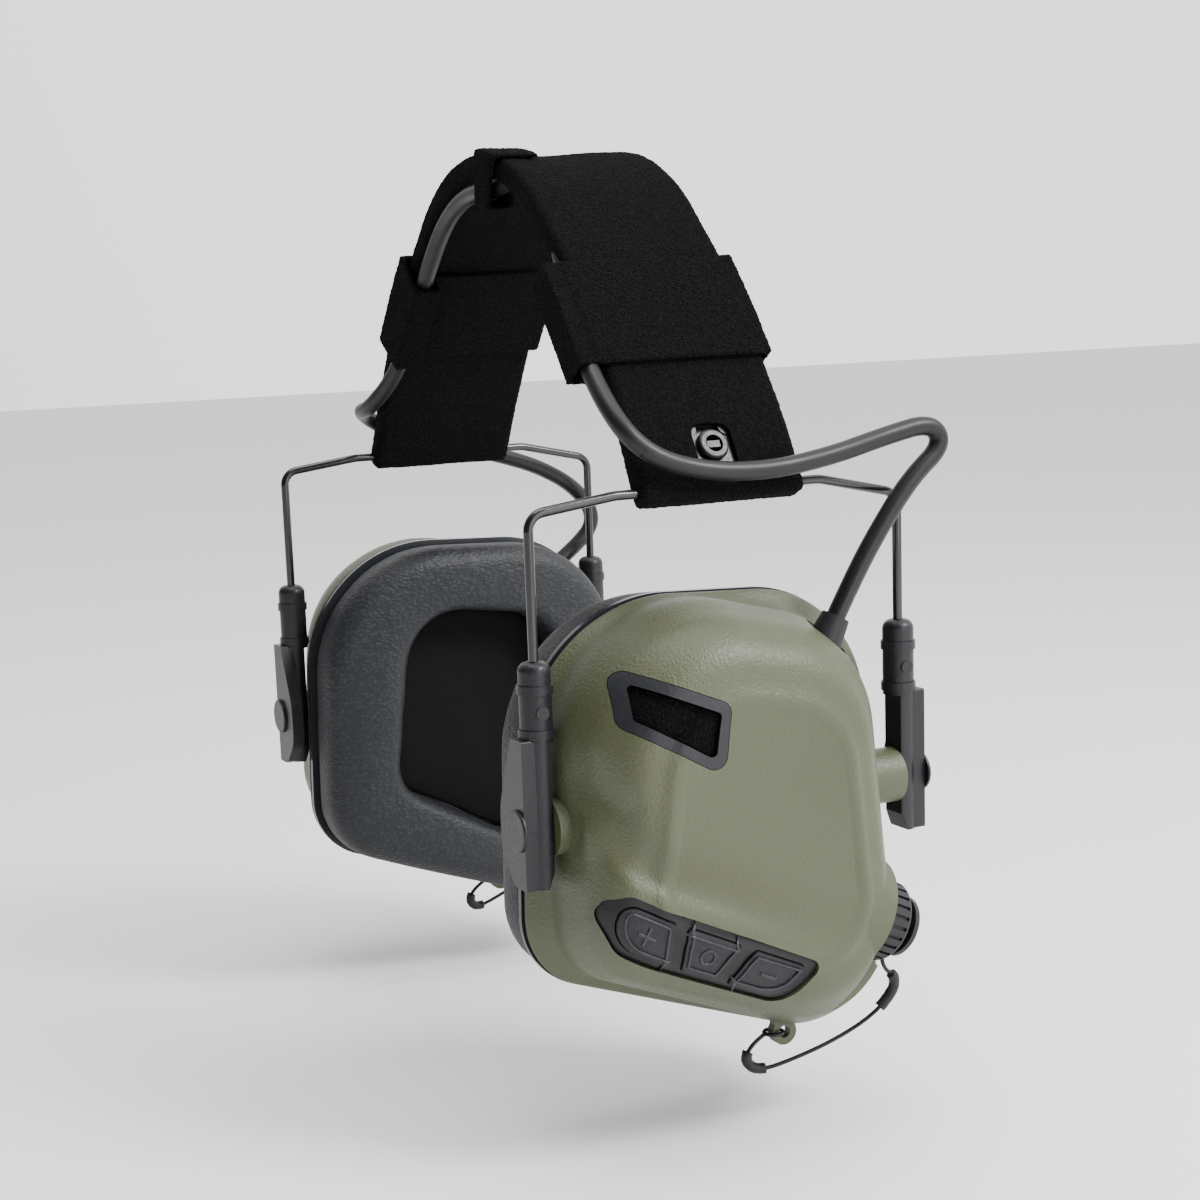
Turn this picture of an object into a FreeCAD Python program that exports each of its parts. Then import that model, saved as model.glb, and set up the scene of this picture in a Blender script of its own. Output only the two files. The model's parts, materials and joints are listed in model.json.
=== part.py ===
"""Over-ear electronic hearing protector: two moulded cups on wire yokes under a padded headband.

Frame: +X towards the wearer's left, -Y to the front, +Z up, millimetres.
The origin is the underside of the headband at its crown, where the head carries the set.
Both cups are built once on the left and mirrored; only the left one has the key panel.
"""
import FreeCAD, Part
import math
import os

V = FreeCAD.Vector

# ---------------------------------------------------------------- driving dimensions
# headband
BAND_WIDTH = 42.0
BAND_THICKNESS = 6.4
BAND_WALL = 0.8
CROWN_RADIUS = 52.0
CROWN_ANGLE = 42.0
ARCH_HALF_SPAN = 84.7
ARCH_HEIGHT = 79.4
STRAP_WIDTH = 20.0
STRAP_THICKNESS = 0.8
STRAP_OFFSET = 1.65
PAD_WIDTH = 30.0
PAD_THICKNESS = 2.6
STRAP_END_INSET = 4.6
PAD_END_INSET = 6.3
LOOP_WALL = 1.2
LOOP_TOP_INSET = 16.35
LOOP_BOTTOM_INSET = 8.85
CROWN_LOOP_REACH = 11.0
CROWN_LOOP_ANGLES = (5.0, 17.0)
WINDOW_WIDTH = 9.0
WINDOW_LENGTH = 14.0

# wire yokes
LEG_SPACING = 94.0
LEG_X = 80.5
WIRE_DIAMETER = 2.2
WIRE_BEND_RADIUS = 4.0
BAR_HEIGHT = -71.5
BAR_HALF_LENGTH = 26.0
FRONT_CORNER_DROP = 2.7
REAR_CORNER_DROP = 4.6
LEG_INSERTION = 16.0
SLIDE_UP = 12.0

# wire clamps in the band ends
CLAMP_WIDTH = 18.0
CLAMP_LENGTH = 19.0
CLAMP_THICKNESS = 4.0
CLAMP_RING_DIAMETER = 7.4
CLAMP_RING_BORE = 4.2
RIVET_DIAMETER = 2.4
RIVET_HEAD_DIAMETER = 4.4
RIVET_SPACING = 10.0

# arms
PIVOT_DROP = 142.5
SOCKET_RADIUS = 3.65
SOCKET_HEIGHT = 36.9
COLLAR_RADIUS = 4.05
COLLAR_HEIGHT = 2.0
COLLAR_LEVELS = (20.2, 29.9)
ARM_TIP = 13.2
ARM_FLAT_Y = 45.4
ARM_HEEL_DEPTH = 1.6
ARM_HEEL_HEIGHT = 4.0
PADDLE_Y = 49.0
PADDLE_THICKNESS = 3.2
PADDLE_REACH = 9.5
PIN_RADIUS = 3.0
PIN_HEAD_RADIUS = 4.7
PIN_HEAD_PROUD = 0.8
PIN_LENGTH = 13.0
BOSS_RADIUS = 6.5
BOSS_DEPTH = 9.0

# cup stack, measured outward from the head
CUSHION_FACE_X = 54.0
CUSHION_THICKNESS = 15.0
PLATE_THICKNESS = 3.0
SHELL_DEPTH = 31.4
SHELL_WALL = 2.2
CUSHION_ROUND = 6.0
LINER_THICKNESS = 3.0
SPEAKER_RADIUS = 20.0
SPEAKER_DEPTH = 7.0
BOARD_THICKNESS = 1.6

# battery housing and cap
TUBE_SLOPE = 25.0
TUBE_X = 90.0
TUBE_MOUTH_Y = 28.8
TUBE_MOUTH_Z = -28.9
TUBE_END_WALL = 1.5
TUBE_OUTER_RADIUS = 7.8
RIDGE_RADIUS = 13.5
CELL_RADIUS = 5.25
CELL_LENGTH = 39.6
CELL_BUTTON_HEIGHT = 0.7
CONTACT_ROOM = 0.6
CAP_RADIUS = 9.5
CAP_LENGTH = 8.4
CAP_RIBS = 24
CAP_SPIGOT_RADIUS = 6.2
CAP_SPIGOT_LENGTH = 6.0
CAP_NECK_RADIUS = 5.2
CAP_NECK_LENGTH = 2.9
CAP_DISC_RADIUS = 7.2
CAP_DISC_THICKNESS = 1.2
LIP_LENGTH = 4.8

# key panel
PANEL_DEPTH_BELOW = 0.9
BUTTON_DEPTH_BELOW = 0.3
BUTTON_TRAVEL = 0.8
PANEL_TILT = 15.0
SWITCH_SIZE = 6.0
SWITCH_HEIGHT = 2.4
SWITCH_TOP = -7.2
STEM_RADIUS = 1.6

# cable, strain relief and cap tether
CABLE_DIAMETER = 4.4
GLAND_LENGTH = 10.0
GLAND_BASE_RADIUS = 4.4
GLAND_TIP_RADIUS = 3.3
GLAND_SEAT_RADIUS = 6.0
GLAND_GRIP = 3.5
TETHER_DIAMETER = 1.0
SLEEVE_DIAMETER = 2.6
EYELET_RADIUS = 3.2
EYELET_BORE_RADIUS = 1.5
LINK_RADIUS = 2.2

# clearances
GAP = 0.3
SEAT_GAP = 0.15
RUNNING = 0.06
SLIDING = 0.08

# the cell's tube holds the cap's spigot, the cell and its contact
TUBE_LENGTH = CAP_SPIGOT_LENGTH + GAP + CELL_LENGTH + CONTACT_ROOM + TUBE_END_WALL

# outlines: circles (y, z, radius) from the top front, forwards and round; heights from the pivot
BASE_CIRCLES = ((-11.0, 11.5, 36.5), (-30.5, -23.5, 18.0), (21.0, -37.5, 22.0), (12.0, 15.5, 31.5))
WAIST_CIRCLES = ((-9.0, 12.5, 35.5), (-27.5, -22.5, 16.5), (19.0, -36.0, 21.5), (8.0, 14.5, 29.5))
FACE_CIRCLES = ((-9.0, 14.0, 29.0), (-27.0, -18.5, 15.5), (14.0, -28.5, 20.0), (3.0, 14.0, 26.5))
EAR_CIRCLES = ((-6.5, 12.5, 16.0), (-16.0, -14.5, 10.0), (10.0, -25.0, 13.0), (9.0, 12.0, 14.5))
CUP_MIDDLE = (-1.0, -5.0)
CUSHION_SCALE = 0.97
# how the shell narrows outward: share of its depth, blend (0 base, 1 waist, 2 face), scale
SHELL_SECTIONS = ((0.0, 0.0, 0.985), (0.12, 0.8, 0.975), (0.24, 1.0, 0.98), (0.38, 1.15, 0.985),
                  (0.52, 1.4, 0.985), (0.65, 1.65, 0.985), (0.77, 1.9, 0.965), (0.87, 2.0, 0.92),
                  (0.945, 2.0, 0.84), (0.985, 2.0, 0.73), (1.0, 2.0, 0.6))

# derived places
PLATE_X = CUSHION_FACE_X + CUSHION_THICKNESS + SEAT_GAP
SHELL_X = PLATE_X + PLATE_THICKNESS
HALF_BAND = BAND_WIDTH / 2
HALF_LEGS = LEG_SPACING / 2
WIRE_RADIUS = WIRE_DIAMETER / 2
CABLE_RADIUS = CABLE_DIAMETER / 2


# ---------------------------------------------------------------- helpers
def level(height):
    """Model height of a point given from the cup pivot."""
    return height - PIVOT_DROP


def fuse(first, *others):
    shape = first
    for other in others:
        shape = shape.fuse(other)
    return shape.removeSplitter()


def rounded_wire(points, radii, closed):
    """Straight runs joined by tangent arcs through the given corners."""
    count = len(points)
    corners = range(count) if closed else range(1, count - 1)
    starts, ends, middles = {}, {}, {}
    for i in corners:
        corner = points[i]
        back = (points[i - 1] - corner).normalize()
        ahead = (points[(i + 1) % count] - corner).normalize()
        half = (math.pi - back.getAngle(ahead)) / 2
        reach = radii[i] * math.tan(half)
        inward = (back + ahead).normalize()
        starts[i] = corner + back * reach
        ends[i] = corner + ahead * reach
        middles[i] = corner + inward * (radii[i] / math.cos(half) - radii[i])
    edges = []
    for i in range(count if closed else count - 1):
        j = (i + 1) % count
        tail = ends.get(i, points[i])
        head = starts.get(j, points[j])
        if (head - tail).Length > 1e-6:
            edges.append(Part.LineSegment(tail, head).toShape())
        if j in middles:
            edges.append(Part.Arc(starts[j], middles[j], ends[j]).toShape())
    return Part.Wire(edges)


def tube(wire, radius):
    """Round bar along a wire of tangent edges."""
    start = wire.Edges[0]
    origin = start.valueAt(start.FirstParameter)
    along = start.tangentAt(start.FirstParameter)
    ring = Part.Wire(Part.makeCircle(radius, origin, along))
    return wire.makePipeShell([ring], True, True)


def cord_radii(points):
    """Largest arc each corner of a cord's route has room for."""
    radii = [0.0] * len(points)
    for i in range(1, len(points) - 1):
        back = points[i - 1] - points[i]
        ahead = points[i + 1] - points[i]
        half = (math.pi - back.getAngle(ahead)) / 2
        radii[i] = 0.45 * min(back.Length, ahead.Length) / math.tan(half)
    return radii


def cord(name, points, diameter):
    """Plain tube along a cord's route; prints its smallest radii."""
    radii = cord_radii(points)
    wire = rounded_wire(points, radii, False)
    solid = tube(wire, diameter / 2)
    expected = math.pi * diameter ** 2 / 4 * wire.Length
    print(name, "length %.0f" % wire.Length, "volume ratio %.3f" % (solid.Volume / expected))
    print("  radii", " ".join("%.0f" % r for r in radii[1:-1]))
    return solid


def hull_wire(circles, x, scale=1.0, grow=0.0):
    """Outline round a ring of circles in a plane of constant x."""
    ring = []
    for y, z, radius in circles:
        middle_y = CUP_MIDDLE[0] + scale * (y - CUP_MIDDLE[0])
        middle_z = CUP_MIDDLE[1] + scale * (z - CUP_MIDDLE[1])
        ring.append((middle_y, middle_z, scale * radius + grow))
    normals = []
    for i, (y, z, radius) in enumerate(ring):
        next_y, next_z, next_radius = ring[(i + 1) % len(ring)]
        heading = math.atan2(next_z - z, next_y - y)
        distance = math.hypot(next_y - y, next_z - z)
        normals.append(heading - math.acos((radius - next_radius) / distance))

    def on(i, angle):
        y, z, radius = ring[i]
        return V(x, y + radius * math.cos(angle), level(z + radius * math.sin(angle)))

    edges = []
    for i in range(len(ring)):
        first = normals[i - 1]
        last = normals[i]
        while last < first:
            last += 2 * math.pi
        j = (i + 1) % len(ring)
        edges.append(Part.Arc(on(i, first), on(i, (first + last) / 2), on(i, last)).toShape())
        edges.append(Part.LineSegment(on(i, last), on(j, normals[i])).toShape())
    return Part.Wire(edges)


def slab(circles, x0, x1, scale=1.0, grow=0.0):
    """Flat plate with the hull outline between two planes of constant x."""
    return Part.Face(hull_wire(circles, x0, scale, grow)).extrude(V(x1 - x0, 0, 0))


def bar(radius, start, end):
    """Cylinder between two points."""
    along = end - start
    return Part.makeCylinder(radius, along.Length, start, along)


def box(x0, x1, y0, y1, z0, z1):
    return Part.makeBox(x1 - x0, y1 - y0, z1 - z0, V(x0, y0, z0))


def blended(blend):
    """Circles between the base, waist and face outlines."""
    first, last = (BASE_CIRCLES, WAIST_CIRCLES) if blend < 1 else (WAIST_CIRCLES, FACE_CIRCLES)
    share = blend if blend < 1 else blend - 1
    return [tuple(p + share * (q - p) for p, q in zip(a, b)) for a, b in zip(first, last)]


class Frame:
    """A local frame: s and u lie in a face, n points out of it."""

    def __init__(self, origin, s, u, n):
        self.origin = origin
        self.s = s
        self.u = u
        self.n = n

    def at(self, s, u, n=0.0):
        return self.origin + self.s * s + self.u * u + self.n * n

    def prism(self, corners, radii, n0, n1):
        """Rounded polygon extruded along the normal from n0 to n1."""
        points = [self.at(s, u, n0) for s, u in corners]
        face = Part.Face(rounded_wire(points, radii, True))
        return face.extrude(self.n * (n1 - n0))

    def mirrored(self):
        """The same frame on the other side of the x = 0 plane."""
        turned = [V(-a.x, a.y, a.z) for a in (self.origin, self.s, self.u, self.n)]
        return Frame(*turned)

    def block(self, s0, s1, u0, u1, n0, n1):
        return self.prism(((s0, u0), (s1, u0), (s1, u1), (s0, u1)), (0.01,) * 4, n0, n1)


def mirrored(shape):
    return shape.mirror(V(0, 0, 0), V(1, 0, 0))


# ---------------------------------------------------------------- headband arch
class Arch:
    """Crown arc and two side arcs; offsets are measured inward from the outer face."""

    def __init__(self):
        turn = math.radians(CROWN_ANGLE)
        self.crown = V(0, 0, BAND_THICKNESS - CROWN_RADIUS)
        joint = self.crown + V(math.sin(turn), 0, math.cos(turn)) * CROWN_RADIUS
        end = V(ARCH_HALF_SPAN, 0, BAND_THICKNESS - ARCH_HEIGHT)
        chord = end - joint
        slope = math.atan2(-chord.z, chord.x)
        self.side_radius = chord.Length / (2 * math.sin(slope - turn))
        self.end_angle = math.degrees(2 * slope - turn)
        self.side = joint - V(math.sin(turn), 0, math.cos(turn)) * self.side_radius

    def at(self, angle, offset, y=0.0):
        """Point at a direction angle from the vertical, negative on the right-hand side."""
        turn = math.radians(abs(angle))
        crown = abs(angle) <= CROWN_ANGLE
        middle = self.crown if crown else self.side
        radius = (CROWN_RADIUS if crown else self.side_radius) - offset
        x = middle.x + radius * math.sin(turn)
        z = middle.z + radius * math.cos(turn)
        return V(math.copysign(x, angle), y, z)

    def edges(self, first, last, offset):
        """Arc edges between two direction angles."""
        knots = [first] + [k for k in (-CROWN_ANGLE, CROWN_ANGLE) if first < k < last] + [last]
        arcs = []
        for a, b in zip(knots, knots[1:]):
            middle = (a + b) / 2
            arcs.append(Part.Arc(self.at(a, offset), self.at(middle, offset), self.at(b, offset)).toShape())
        return arcs

    def band(self, first, last, outer, inner, y0, y1):
        """Curved bar between two offsets, two angles and two y planes."""
        over = self.edges(first, last, outer)
        under = self.edges(first, last, inner)
        sides = [Part.LineSegment(self.at(a, outer), self.at(a, inner)).toShape() for a in (first, last)]
        face = Part.Face(Part.Wire(Part.__sortEdges__(over + under + sides)))
        face.translate(V(0, y0, 0))
        return face.extrude(V(0, y1 - y0, 0))


ARCH = Arch()
END = ARCH.end_angle


def band_end_frame():
    """Frame at the yoke's top bar: s up the band's middle, u along y, n outward."""
    foot = V(LEG_X, 0, BAR_HEIGHT)
    up = (ARCH.at(END - PAD_END_INSET, BAND_THICKNESS / 2) - foot).normalize()
    return Frame(foot, up, V(0, 1, 0), V(up.z, 0, -up.x))


BAND_END = band_end_frame()


# ---------------------------------------------------------------- cable routes
def cable_stretches():
    """The lead's route from the left strain relief to the right one, in four stretches."""
    left = [
        V(86.4, 30.8, -94.2),
        V(86.8, 38.2, -82.8),
        V(86.8, 46.8, -72.2),
        V(86.6, 55.8, -65.4),
        V(86.2, 52.8, -60.0),
        V(86.0, 40.6, -62.4),
        V(85.8, 26.0, -66.0),
        V(85.8, 10.0, -68.2),
        V(85.6, -6.0, -67.4),
        V(84.8, -18.6, -63.6),
        V(81.4, -25.6, -56.0),
    ]
    mid = BAND_THICKNESS / 2
    edge_y = -HALF_BAND - CABLE_RADIUS - 0.4
    inside_y = -HALF_BAND + BAND_WALL + CABLE_RADIUS + 0.3
    under = BAND_THICKNESS + CABLE_RADIUS + 0.5
    under_y = -HALF_BAND + 2.0
    hidden = [ARCH.at(53.6, mid, edge_y), ARCH.at(49.2, mid, -20.0)]
    hidden += [ARCH.at(a, mid, inside_y) for a in (44.0, 35.0, 26.0)]
    hidden += [ARCH.at(19.0, mid + 1.4, inside_y)]
    open_run = [ARCH.at(11.0, under - 0.6, under_y)]
    open_run += [ARCH.at(a, under, under_y) for a in (0.0, -12.0, -24.0, -36.0, -43.6, -48.2, -52.0)]
    open_run += [ARCH.at(-55.4, under - 1.2, under_y - 1.6), ARCH.at(-58.6, mid + 0.8, edge_y - 0.6)]
    right = [
        V(-82.4, -23.2, -58.6),
        V(-85.6, -15.2, -63.8),
        V(-86.2, -3.0, -67.6),
        V(-86.4, 9.0, -70.8),
        V(-86.8, 22.0, -74.2),
        V(-87.4, 35.0, -78.6),
        V(-88.0, 46.6, -85.4),
        V(-88.2, 52.8, -94.2),
        V(-87.8, 48.4, -101.8),
    ]
    return left, hidden, open_run, right


def gland_frame(origin, aim):
    """Frame at a strain relief's root, with n along the cable's way out."""
    n = (aim - origin).normalize()
    s = V(1, 0, 0).cross(n).normalize()
    return Frame(origin, s, n.cross(s), n)


STRETCHES = cable_stretches()
ROUTE = sum(STRETCHES, [])
LEFT_GLAND = gland_frame(V(86.0, 21.4, level(31.4)), ROUTE[0])
RIGHT_GLAND = gland_frame(V(-86.6, 29.4, level(29.0)), ROUTE[-1])


def cable_points():
    return [LEFT_GLAND.at(0, 0, GLAND_GRIP)] + ROUTE + [RIGHT_GLAND.at(0, 0, GLAND_GRIP)]


def cup_cable():
    """The lead between the cups, from inside one strain relief to inside the other."""
    return cord("cup_cable", cable_points(), CABLE_DIAMETER)


def cable_room():
    """The cable's own space with clearance round it, for the pieces it passes through."""
    points = cable_points()
    return tube(rounded_wire(points, cord_radii(points), False), CABLE_RADIUS + GAP)


CABLE_ROOM = cable_room()


# ---------------------------------------------------------------- headband
def headband_cover():
    """Hollow textile sleeve with a window over each wire clamp."""
    inner_y = HALF_BAND - BAND_WALL
    solid = ARCH.band(-END, END, 0, BAND_THICKNESS, -HALF_BAND, HALF_BAND)
    long_edges = [e for e in solid.Edges if e.Length > 30 and e.BoundBox.YLength < 0.01]
    solid = solid.makeFillet(BAND_THICKNESS * 0.32, long_edges)
    hollow = ARCH.band(-END - 2, END + 2, BAND_WALL, BAND_THICKNESS - BAND_WALL, -inner_y, inner_y)
    solid = solid.cut(hollow)
    window = BAND_END.prism(
        ((0.0, -WINDOW_WIDTH / 2), (WINDOW_LENGTH, -WINDOW_WIDTH / 2),
         (WINDOW_LENGTH, WINDOW_WIDTH / 2), (0.0, WINDOW_WIDTH / 2)), (2.0,) * 4, 0.0, 8.0)
    wire_way = bar(WIRE_RADIUS + 0.5, V(LEG_X, -HALF_BAND - 2, BAR_HEIGHT), V(LEG_X, HALF_BAND + 2, BAR_HEIGHT))
    for cut in (window, wire_way):
        solid = solid.cut(cut).cut(mirrored(cut))
    return solid.cut(CABLE_ROOM)


def spring_strap():
    """Spring-steel strap that clamps the cups to the head."""
    outer = STRAP_OFFSET
    limit = END - STRAP_END_INSET
    solid = ARCH.band(-limit, limit, outer, outer + STRAP_THICKNESS, -STRAP_WIDTH / 2, STRAP_WIDTH / 2)
    for hole in rivet_shafts(RIVET_DIAMETER / 2 + RUNNING):
        solid = solid.cut(hole)
    return solid


def headband_pad():
    """Foam strip between the strap and the head."""
    outer = STRAP_OFFSET + STRAP_THICKNESS + SEAT_GAP
    limit = END - PAD_END_INSET
    return ARCH.band(-limit, limit, outer, outer + PAD_THICKNESS, -PAD_WIDTH / 2 + 2.0, PAD_WIDTH / 2 + 2.0)


def wrap(first, last, rear, pocket):
    """Strip round the band between two angles, with a pocket (offsets, y range) for the cable."""
    front = -HALF_BAND - GAP
    under = BAND_THICKNESS + GAP
    low, high, y0, y1 = pocket
    outside = ARCH.band(first, last, -GAP - LOOP_WALL, under + LOOP_WALL, front - LOOP_WALL, rear + LOOP_WALL)
    outside = outside.fuse(ARCH.band(first, last, low - LOOP_WALL, high + LOOP_WALL, y0 - LOOP_WALL, y1 + LOOP_WALL))
    inside = ARCH.band(first - 1, last + 1, -GAP, under, front, rear)
    return outside.removeSplitter().cut(inside).cut(ARCH.band(first - 1, last + 1, low, high, y0, y1)).cut(CABLE_ROOM)


def under_pocket():
    """Offsets and y range of the room for the cable under the band's front edge."""
    middle = -HALF_BAND + 2.0
    half = CABLE_RADIUS + GAP
    return (0.0, BAND_THICKNESS + CABLE_DIAMETER + 0.9, middle - half, middle + half)


def left_loop():
    """Hook-and-loop strip round the band where the cable leaves the cover's front edge."""
    pocket = (0.0, BAND_THICKNESS, -HALF_BAND - CABLE_DIAMETER - 0.9, -HALF_BAND)
    return wrap(END - LOOP_TOP_INSET, END - LOOP_BOTTOM_INSET, HALF_BAND + GAP, pocket)


def right_loop():
    """Hook-and-loop strip round the band and the cable under it."""
    return wrap(LOOP_BOTTOM_INSET + 1.5 - END, LOOP_TOP_INSET + 1.5 - END, HALF_BAND + GAP, under_pocket())


def crown_loop():
    """Narrow tab that holds the cable under the band's front edge at the crown."""
    first, last = CROWN_LOOP_ANGLES
    loop = wrap(first, last, HALF_BAND, under_pocket())
    return loop.cut(box(-60, 60, -HALF_BAND + CROWN_LOOP_REACH, 60, -60, 60))


def wire_clamp():
    """Plastic clamp that the yoke's top bar turns in, with its ring and ridged thumb slider."""
    half = CLAMP_THICKNESS / 2
    top = -2.6 + CLAMP_LENGTH
    body = BAND_END.prism(
        ((-2.6, -CLAMP_WIDTH / 2), (top, -CLAMP_WIDTH / 2), (top, CLAMP_WIDTH / 2), (-2.6, CLAMP_WIDTH / 2)),
        (1.6,) * 4, -half, half)
    lug = BAND_END.block(11.6, top + 1, -CLAMP_WIDTH, CLAMP_WIDTH, 0.6, half + 1)
    body = body.cut(lug)
    ring_middle = 9.2
    ring = bar(CLAMP_RING_DIAMETER / 2, BAND_END.at(ring_middle, 0, 0.6), BAND_END.at(ring_middle, 0, half + 1.5))
    lip = [e for e in ring.Edges if (e.CenterOfMass - BAND_END.at(ring_middle, 0, half + 1.5)).Length < 0.1]
    ring = ring.makeFillet(0.7, lip)
    bore = bar(CLAMP_RING_BORE / 2, BAND_END.at(ring_middle, 0, 0.8), BAND_END.at(ring_middle, 0, half + 3))
    slider = BAND_END.block(0.9, 4.6, -3.4, 3.4, half - 0.5, half + 1.0)
    body = fuse(body, ring, slider).cut(bore)
    lever = BAND_END.block(8.4, 10.0, -1.6, 1.6, 0.6, half + 1.1)
    body = fuse(body, lever)
    for k in range(5):
        u = -2.8 + 1.4 * k
        body = body.cut(BAND_END.block(0.5, 5.0, u - 0.3, u + 0.3, half + 0.55, half + 2))
    wire_bore = bar(WIRE_RADIUS + RUNNING, BAND_END.at(0, -CLAMP_WIDTH), BAND_END.at(0, CLAMP_WIDTH))
    for hole in rivet_shafts(RIVET_DIAMETER / 2 + RUNNING)[:2]:
        body = body.cut(hole)
    return body.cut(wire_bore)


def rivet_shafts(radius, low=-2.2, high=2.2):
    """Two rivet shafts at each band end, left pair first."""
    shafts = []
    for u in (-RIVET_SPACING / 2, RIVET_SPACING / 2):
        shafts.append(bar(radius, BAND_END.at(13.9, u, low), BAND_END.at(13.9, u, high)))
    return shafts + [mirrored(s) for s in shafts]


def strap_rivets():
    """Rivets that hold the strap to the clamps, heads on the strap."""
    shafts = rivet_shafts(RIVET_DIAMETER / 2, -1.9, 1.8)
    heads = rivet_shafts(RIVET_HEAD_DIAMETER / 2, 1.76, 2.2)
    return Part.makeCompound([shaft.fuse(head) for shaft, head in zip(shafts, heads)])


# ---------------------------------------------------------------- yokes and arms
def leg_end():
    return level(SOCKET_HEIGHT - LEG_INSERTION)


def yoke_wire():
    """One bent spring wire: two legs and a top bar that turns in the clamp."""
    front_top = BAR_HEIGHT - FRONT_CORNER_DROP
    rear_top = BAR_HEIGHT - REAR_CORNER_DROP
    points = [
        V(LEG_X, -HALF_LEGS, leg_end()), V(LEG_X, -HALF_LEGS, front_top),
        V(LEG_X, -BAR_HALF_LENGTH, BAR_HEIGHT), V(LEG_X, BAR_HALF_LENGTH, BAR_HEIGHT),
        V(LEG_X, HALF_LEGS, rear_top), V(LEG_X, HALF_LEGS, leg_end()),
    ]
    radii = [0, WIRE_BEND_RADIUS, 12.0, 12.0, WIRE_BEND_RADIUS, 0]
    return tube(rounded_wire(points, radii, False), WIRE_RADIUS)


def arm():
    """Front arm: a socket with two collars above a flat paddle that carries the cup's pivot."""
    column = Part.makeCylinder(SOCKET_RADIUS, SOCKET_HEIGHT + ARM_TIP, V(LEG_X, -HALF_LEGS, level(-ARM_TIP)))
    rim = [e for e in column.Edges if e.CenterOfMass.z > level(SOCKET_HEIGHT) - 0.01]
    column = column.makeFillet(2.2, rim)
    for height in COLLAR_LEVELS:
        collar = Part.makeCylinder(COLLAR_RADIUS, COLLAR_HEIGHT, V(LEG_X, -HALF_LEGS, level(height)))
        column = column.fuse(collar)
    low = box(LEG_X - 12, LEG_X + 12, -HALF_LEGS - 8, -ARM_FLAT_Y, level(-30), level(COLLAR_LEVELS[0] - 1.0))
    top = box(LEG_X - 12, LEG_X + 12, -HALF_LEGS - 8, -HALF_LEGS + 8, level(COLLAR_LEVELS[0] - 1.0), level(50))
    face = Frame(V(LEG_X, -PADDLE_Y, level(0)), V(1, 0, 0), V(0, 0, 1), V(0, -1, 0))
    paddle = face.prism(
        ((-SOCKET_RADIUS + 1, COLLAR_LEVELS[0]), (-PADDLE_REACH, 4.0), (-PADDLE_REACH, -6.5),
         (-3.0, -ARM_TIP), (SOCKET_RADIUS - 0.6, -ARM_TIP), (SOCKET_RADIUS - 0.6, COLLAR_LEVELS[0])),
        (0.5, 14.0, 7.0, 3.0, 0.5, 0.5), 0.0, PADDLE_THICKNESS)
    shape = column.common(low.fuse(top)).fuse(paddle)
    low_end, flat = level(-ARM_TIP), -ARM_FLAT_Y
    corners = ((flat, low_end), (flat - ARM_HEEL_DEPTH, low_end), (flat, low_end + ARM_HEEL_HEIGHT), (flat, low_end))
    heel = Part.Face(Part.makePolygon([V(LEG_X - 6, y, z) for y, z in corners])).extrude(V(12, 0, 0))
    shape = shape.cut(heel)
    dimple = Part.makeCylinder(1.5, 0.7, V(LEG_X + SOCKET_RADIUS - 0.5, -HALF_LEGS, level(26.0)), V(1, 0, 0))
    wire_bore = Part.makeCylinder(WIRE_RADIUS + SLIDING, LEG_INSERTION + SLIDE_UP + 1,
                                  V(LEG_X, -HALF_LEGS, leg_end() - SLIDE_UP - 1))
    pin_bore = bar(PIN_RADIUS + RUNNING, V(LEG_X, -60, level(0)), V(LEG_X, -40, level(0)))
    return fuse(shape, dimple).cut(wire_bore).cut(pin_bore)


def pivot_pin():
    """Headed front pin from the paddle's outer face into the shell's boss."""
    outer = -PADDLE_Y - PADDLE_THICKNESS
    head_start = V(LEG_X, outer - 0.02, level(0))
    head = bar(PIN_HEAD_RADIUS, head_start, head_start - V(0, PIN_HEAD_PROUD, 0))
    rim = [e for e in head.Edges if e.CenterOfMass.y < head_start.y - PIN_HEAD_PROUD + 0.01]
    head = head.makeFillet(0.4, rim)
    shaft = bar(PIN_RADIUS, V(LEG_X, outer + PIN_LENGTH, level(0)), V(LEG_X, outer - 0.4, level(0)))
    return fuse(head, shaft)


def reversed_y(shape):
    """The same moulding at the rear leg."""
    return shape.mirror(V(0, 0, 0), V(0, 1, 0))


# ---------------------------------------------------------------- cup
SLOPE = math.radians(TUBE_SLOPE)
ALONG = V(0, math.cos(SLOPE), -math.sin(SLOPE))
ACROSS = V(0, math.sin(SLOPE), math.cos(SLOPE))
CAP = Frame(V(TUBE_X, TUBE_MOUTH_Y, level(TUBE_MOUTH_Z)), ACROSS, V(1, 0, 0), ALONG)

TILT = math.radians(PANEL_TILT)
PANEL = Frame(V(101.0, -14.8, level(-29.8)), ALONG,
              ACROSS * math.cos(TILT) + V(1, 0, 0) * math.sin(TILT),
              V(1, 0, 0) * math.cos(TILT) - ACROSS * math.sin(TILT))
PANEL_OUTLINE = ((-30.0, 3.0), (-26.6, 6.8), (25.6, 6.8), (20.4, -6.8), (-23.0, -6.8), (-30.0, -1.5))
PANEL_ROUNDS = (3.0, 3.0, 2.6, 4.0, 5.0, 3.5)
# button name, its corners in the panel, and the corner radii
BUTTONS = (
    ("plus", ((-27.2, 4.8), (-15.0, 4.8), (-11.4, -4.8), (-25.6, -4.8)), (3.0, 0.8, 1.0, 6.5)),
    ("power", ((-11.4, 4.8), (3.4, 4.8), (1.4, -4.8), (-7.8, -4.8)), (0.8, 1.2, 1.2, 0.8)),
    ("minus", ((7.0, 4.8), (21.6, 4.8), (19.0, -4.8), (5.0, -4.8)), (1.2, 1.6, 6.0, 0.8)),
)

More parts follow.
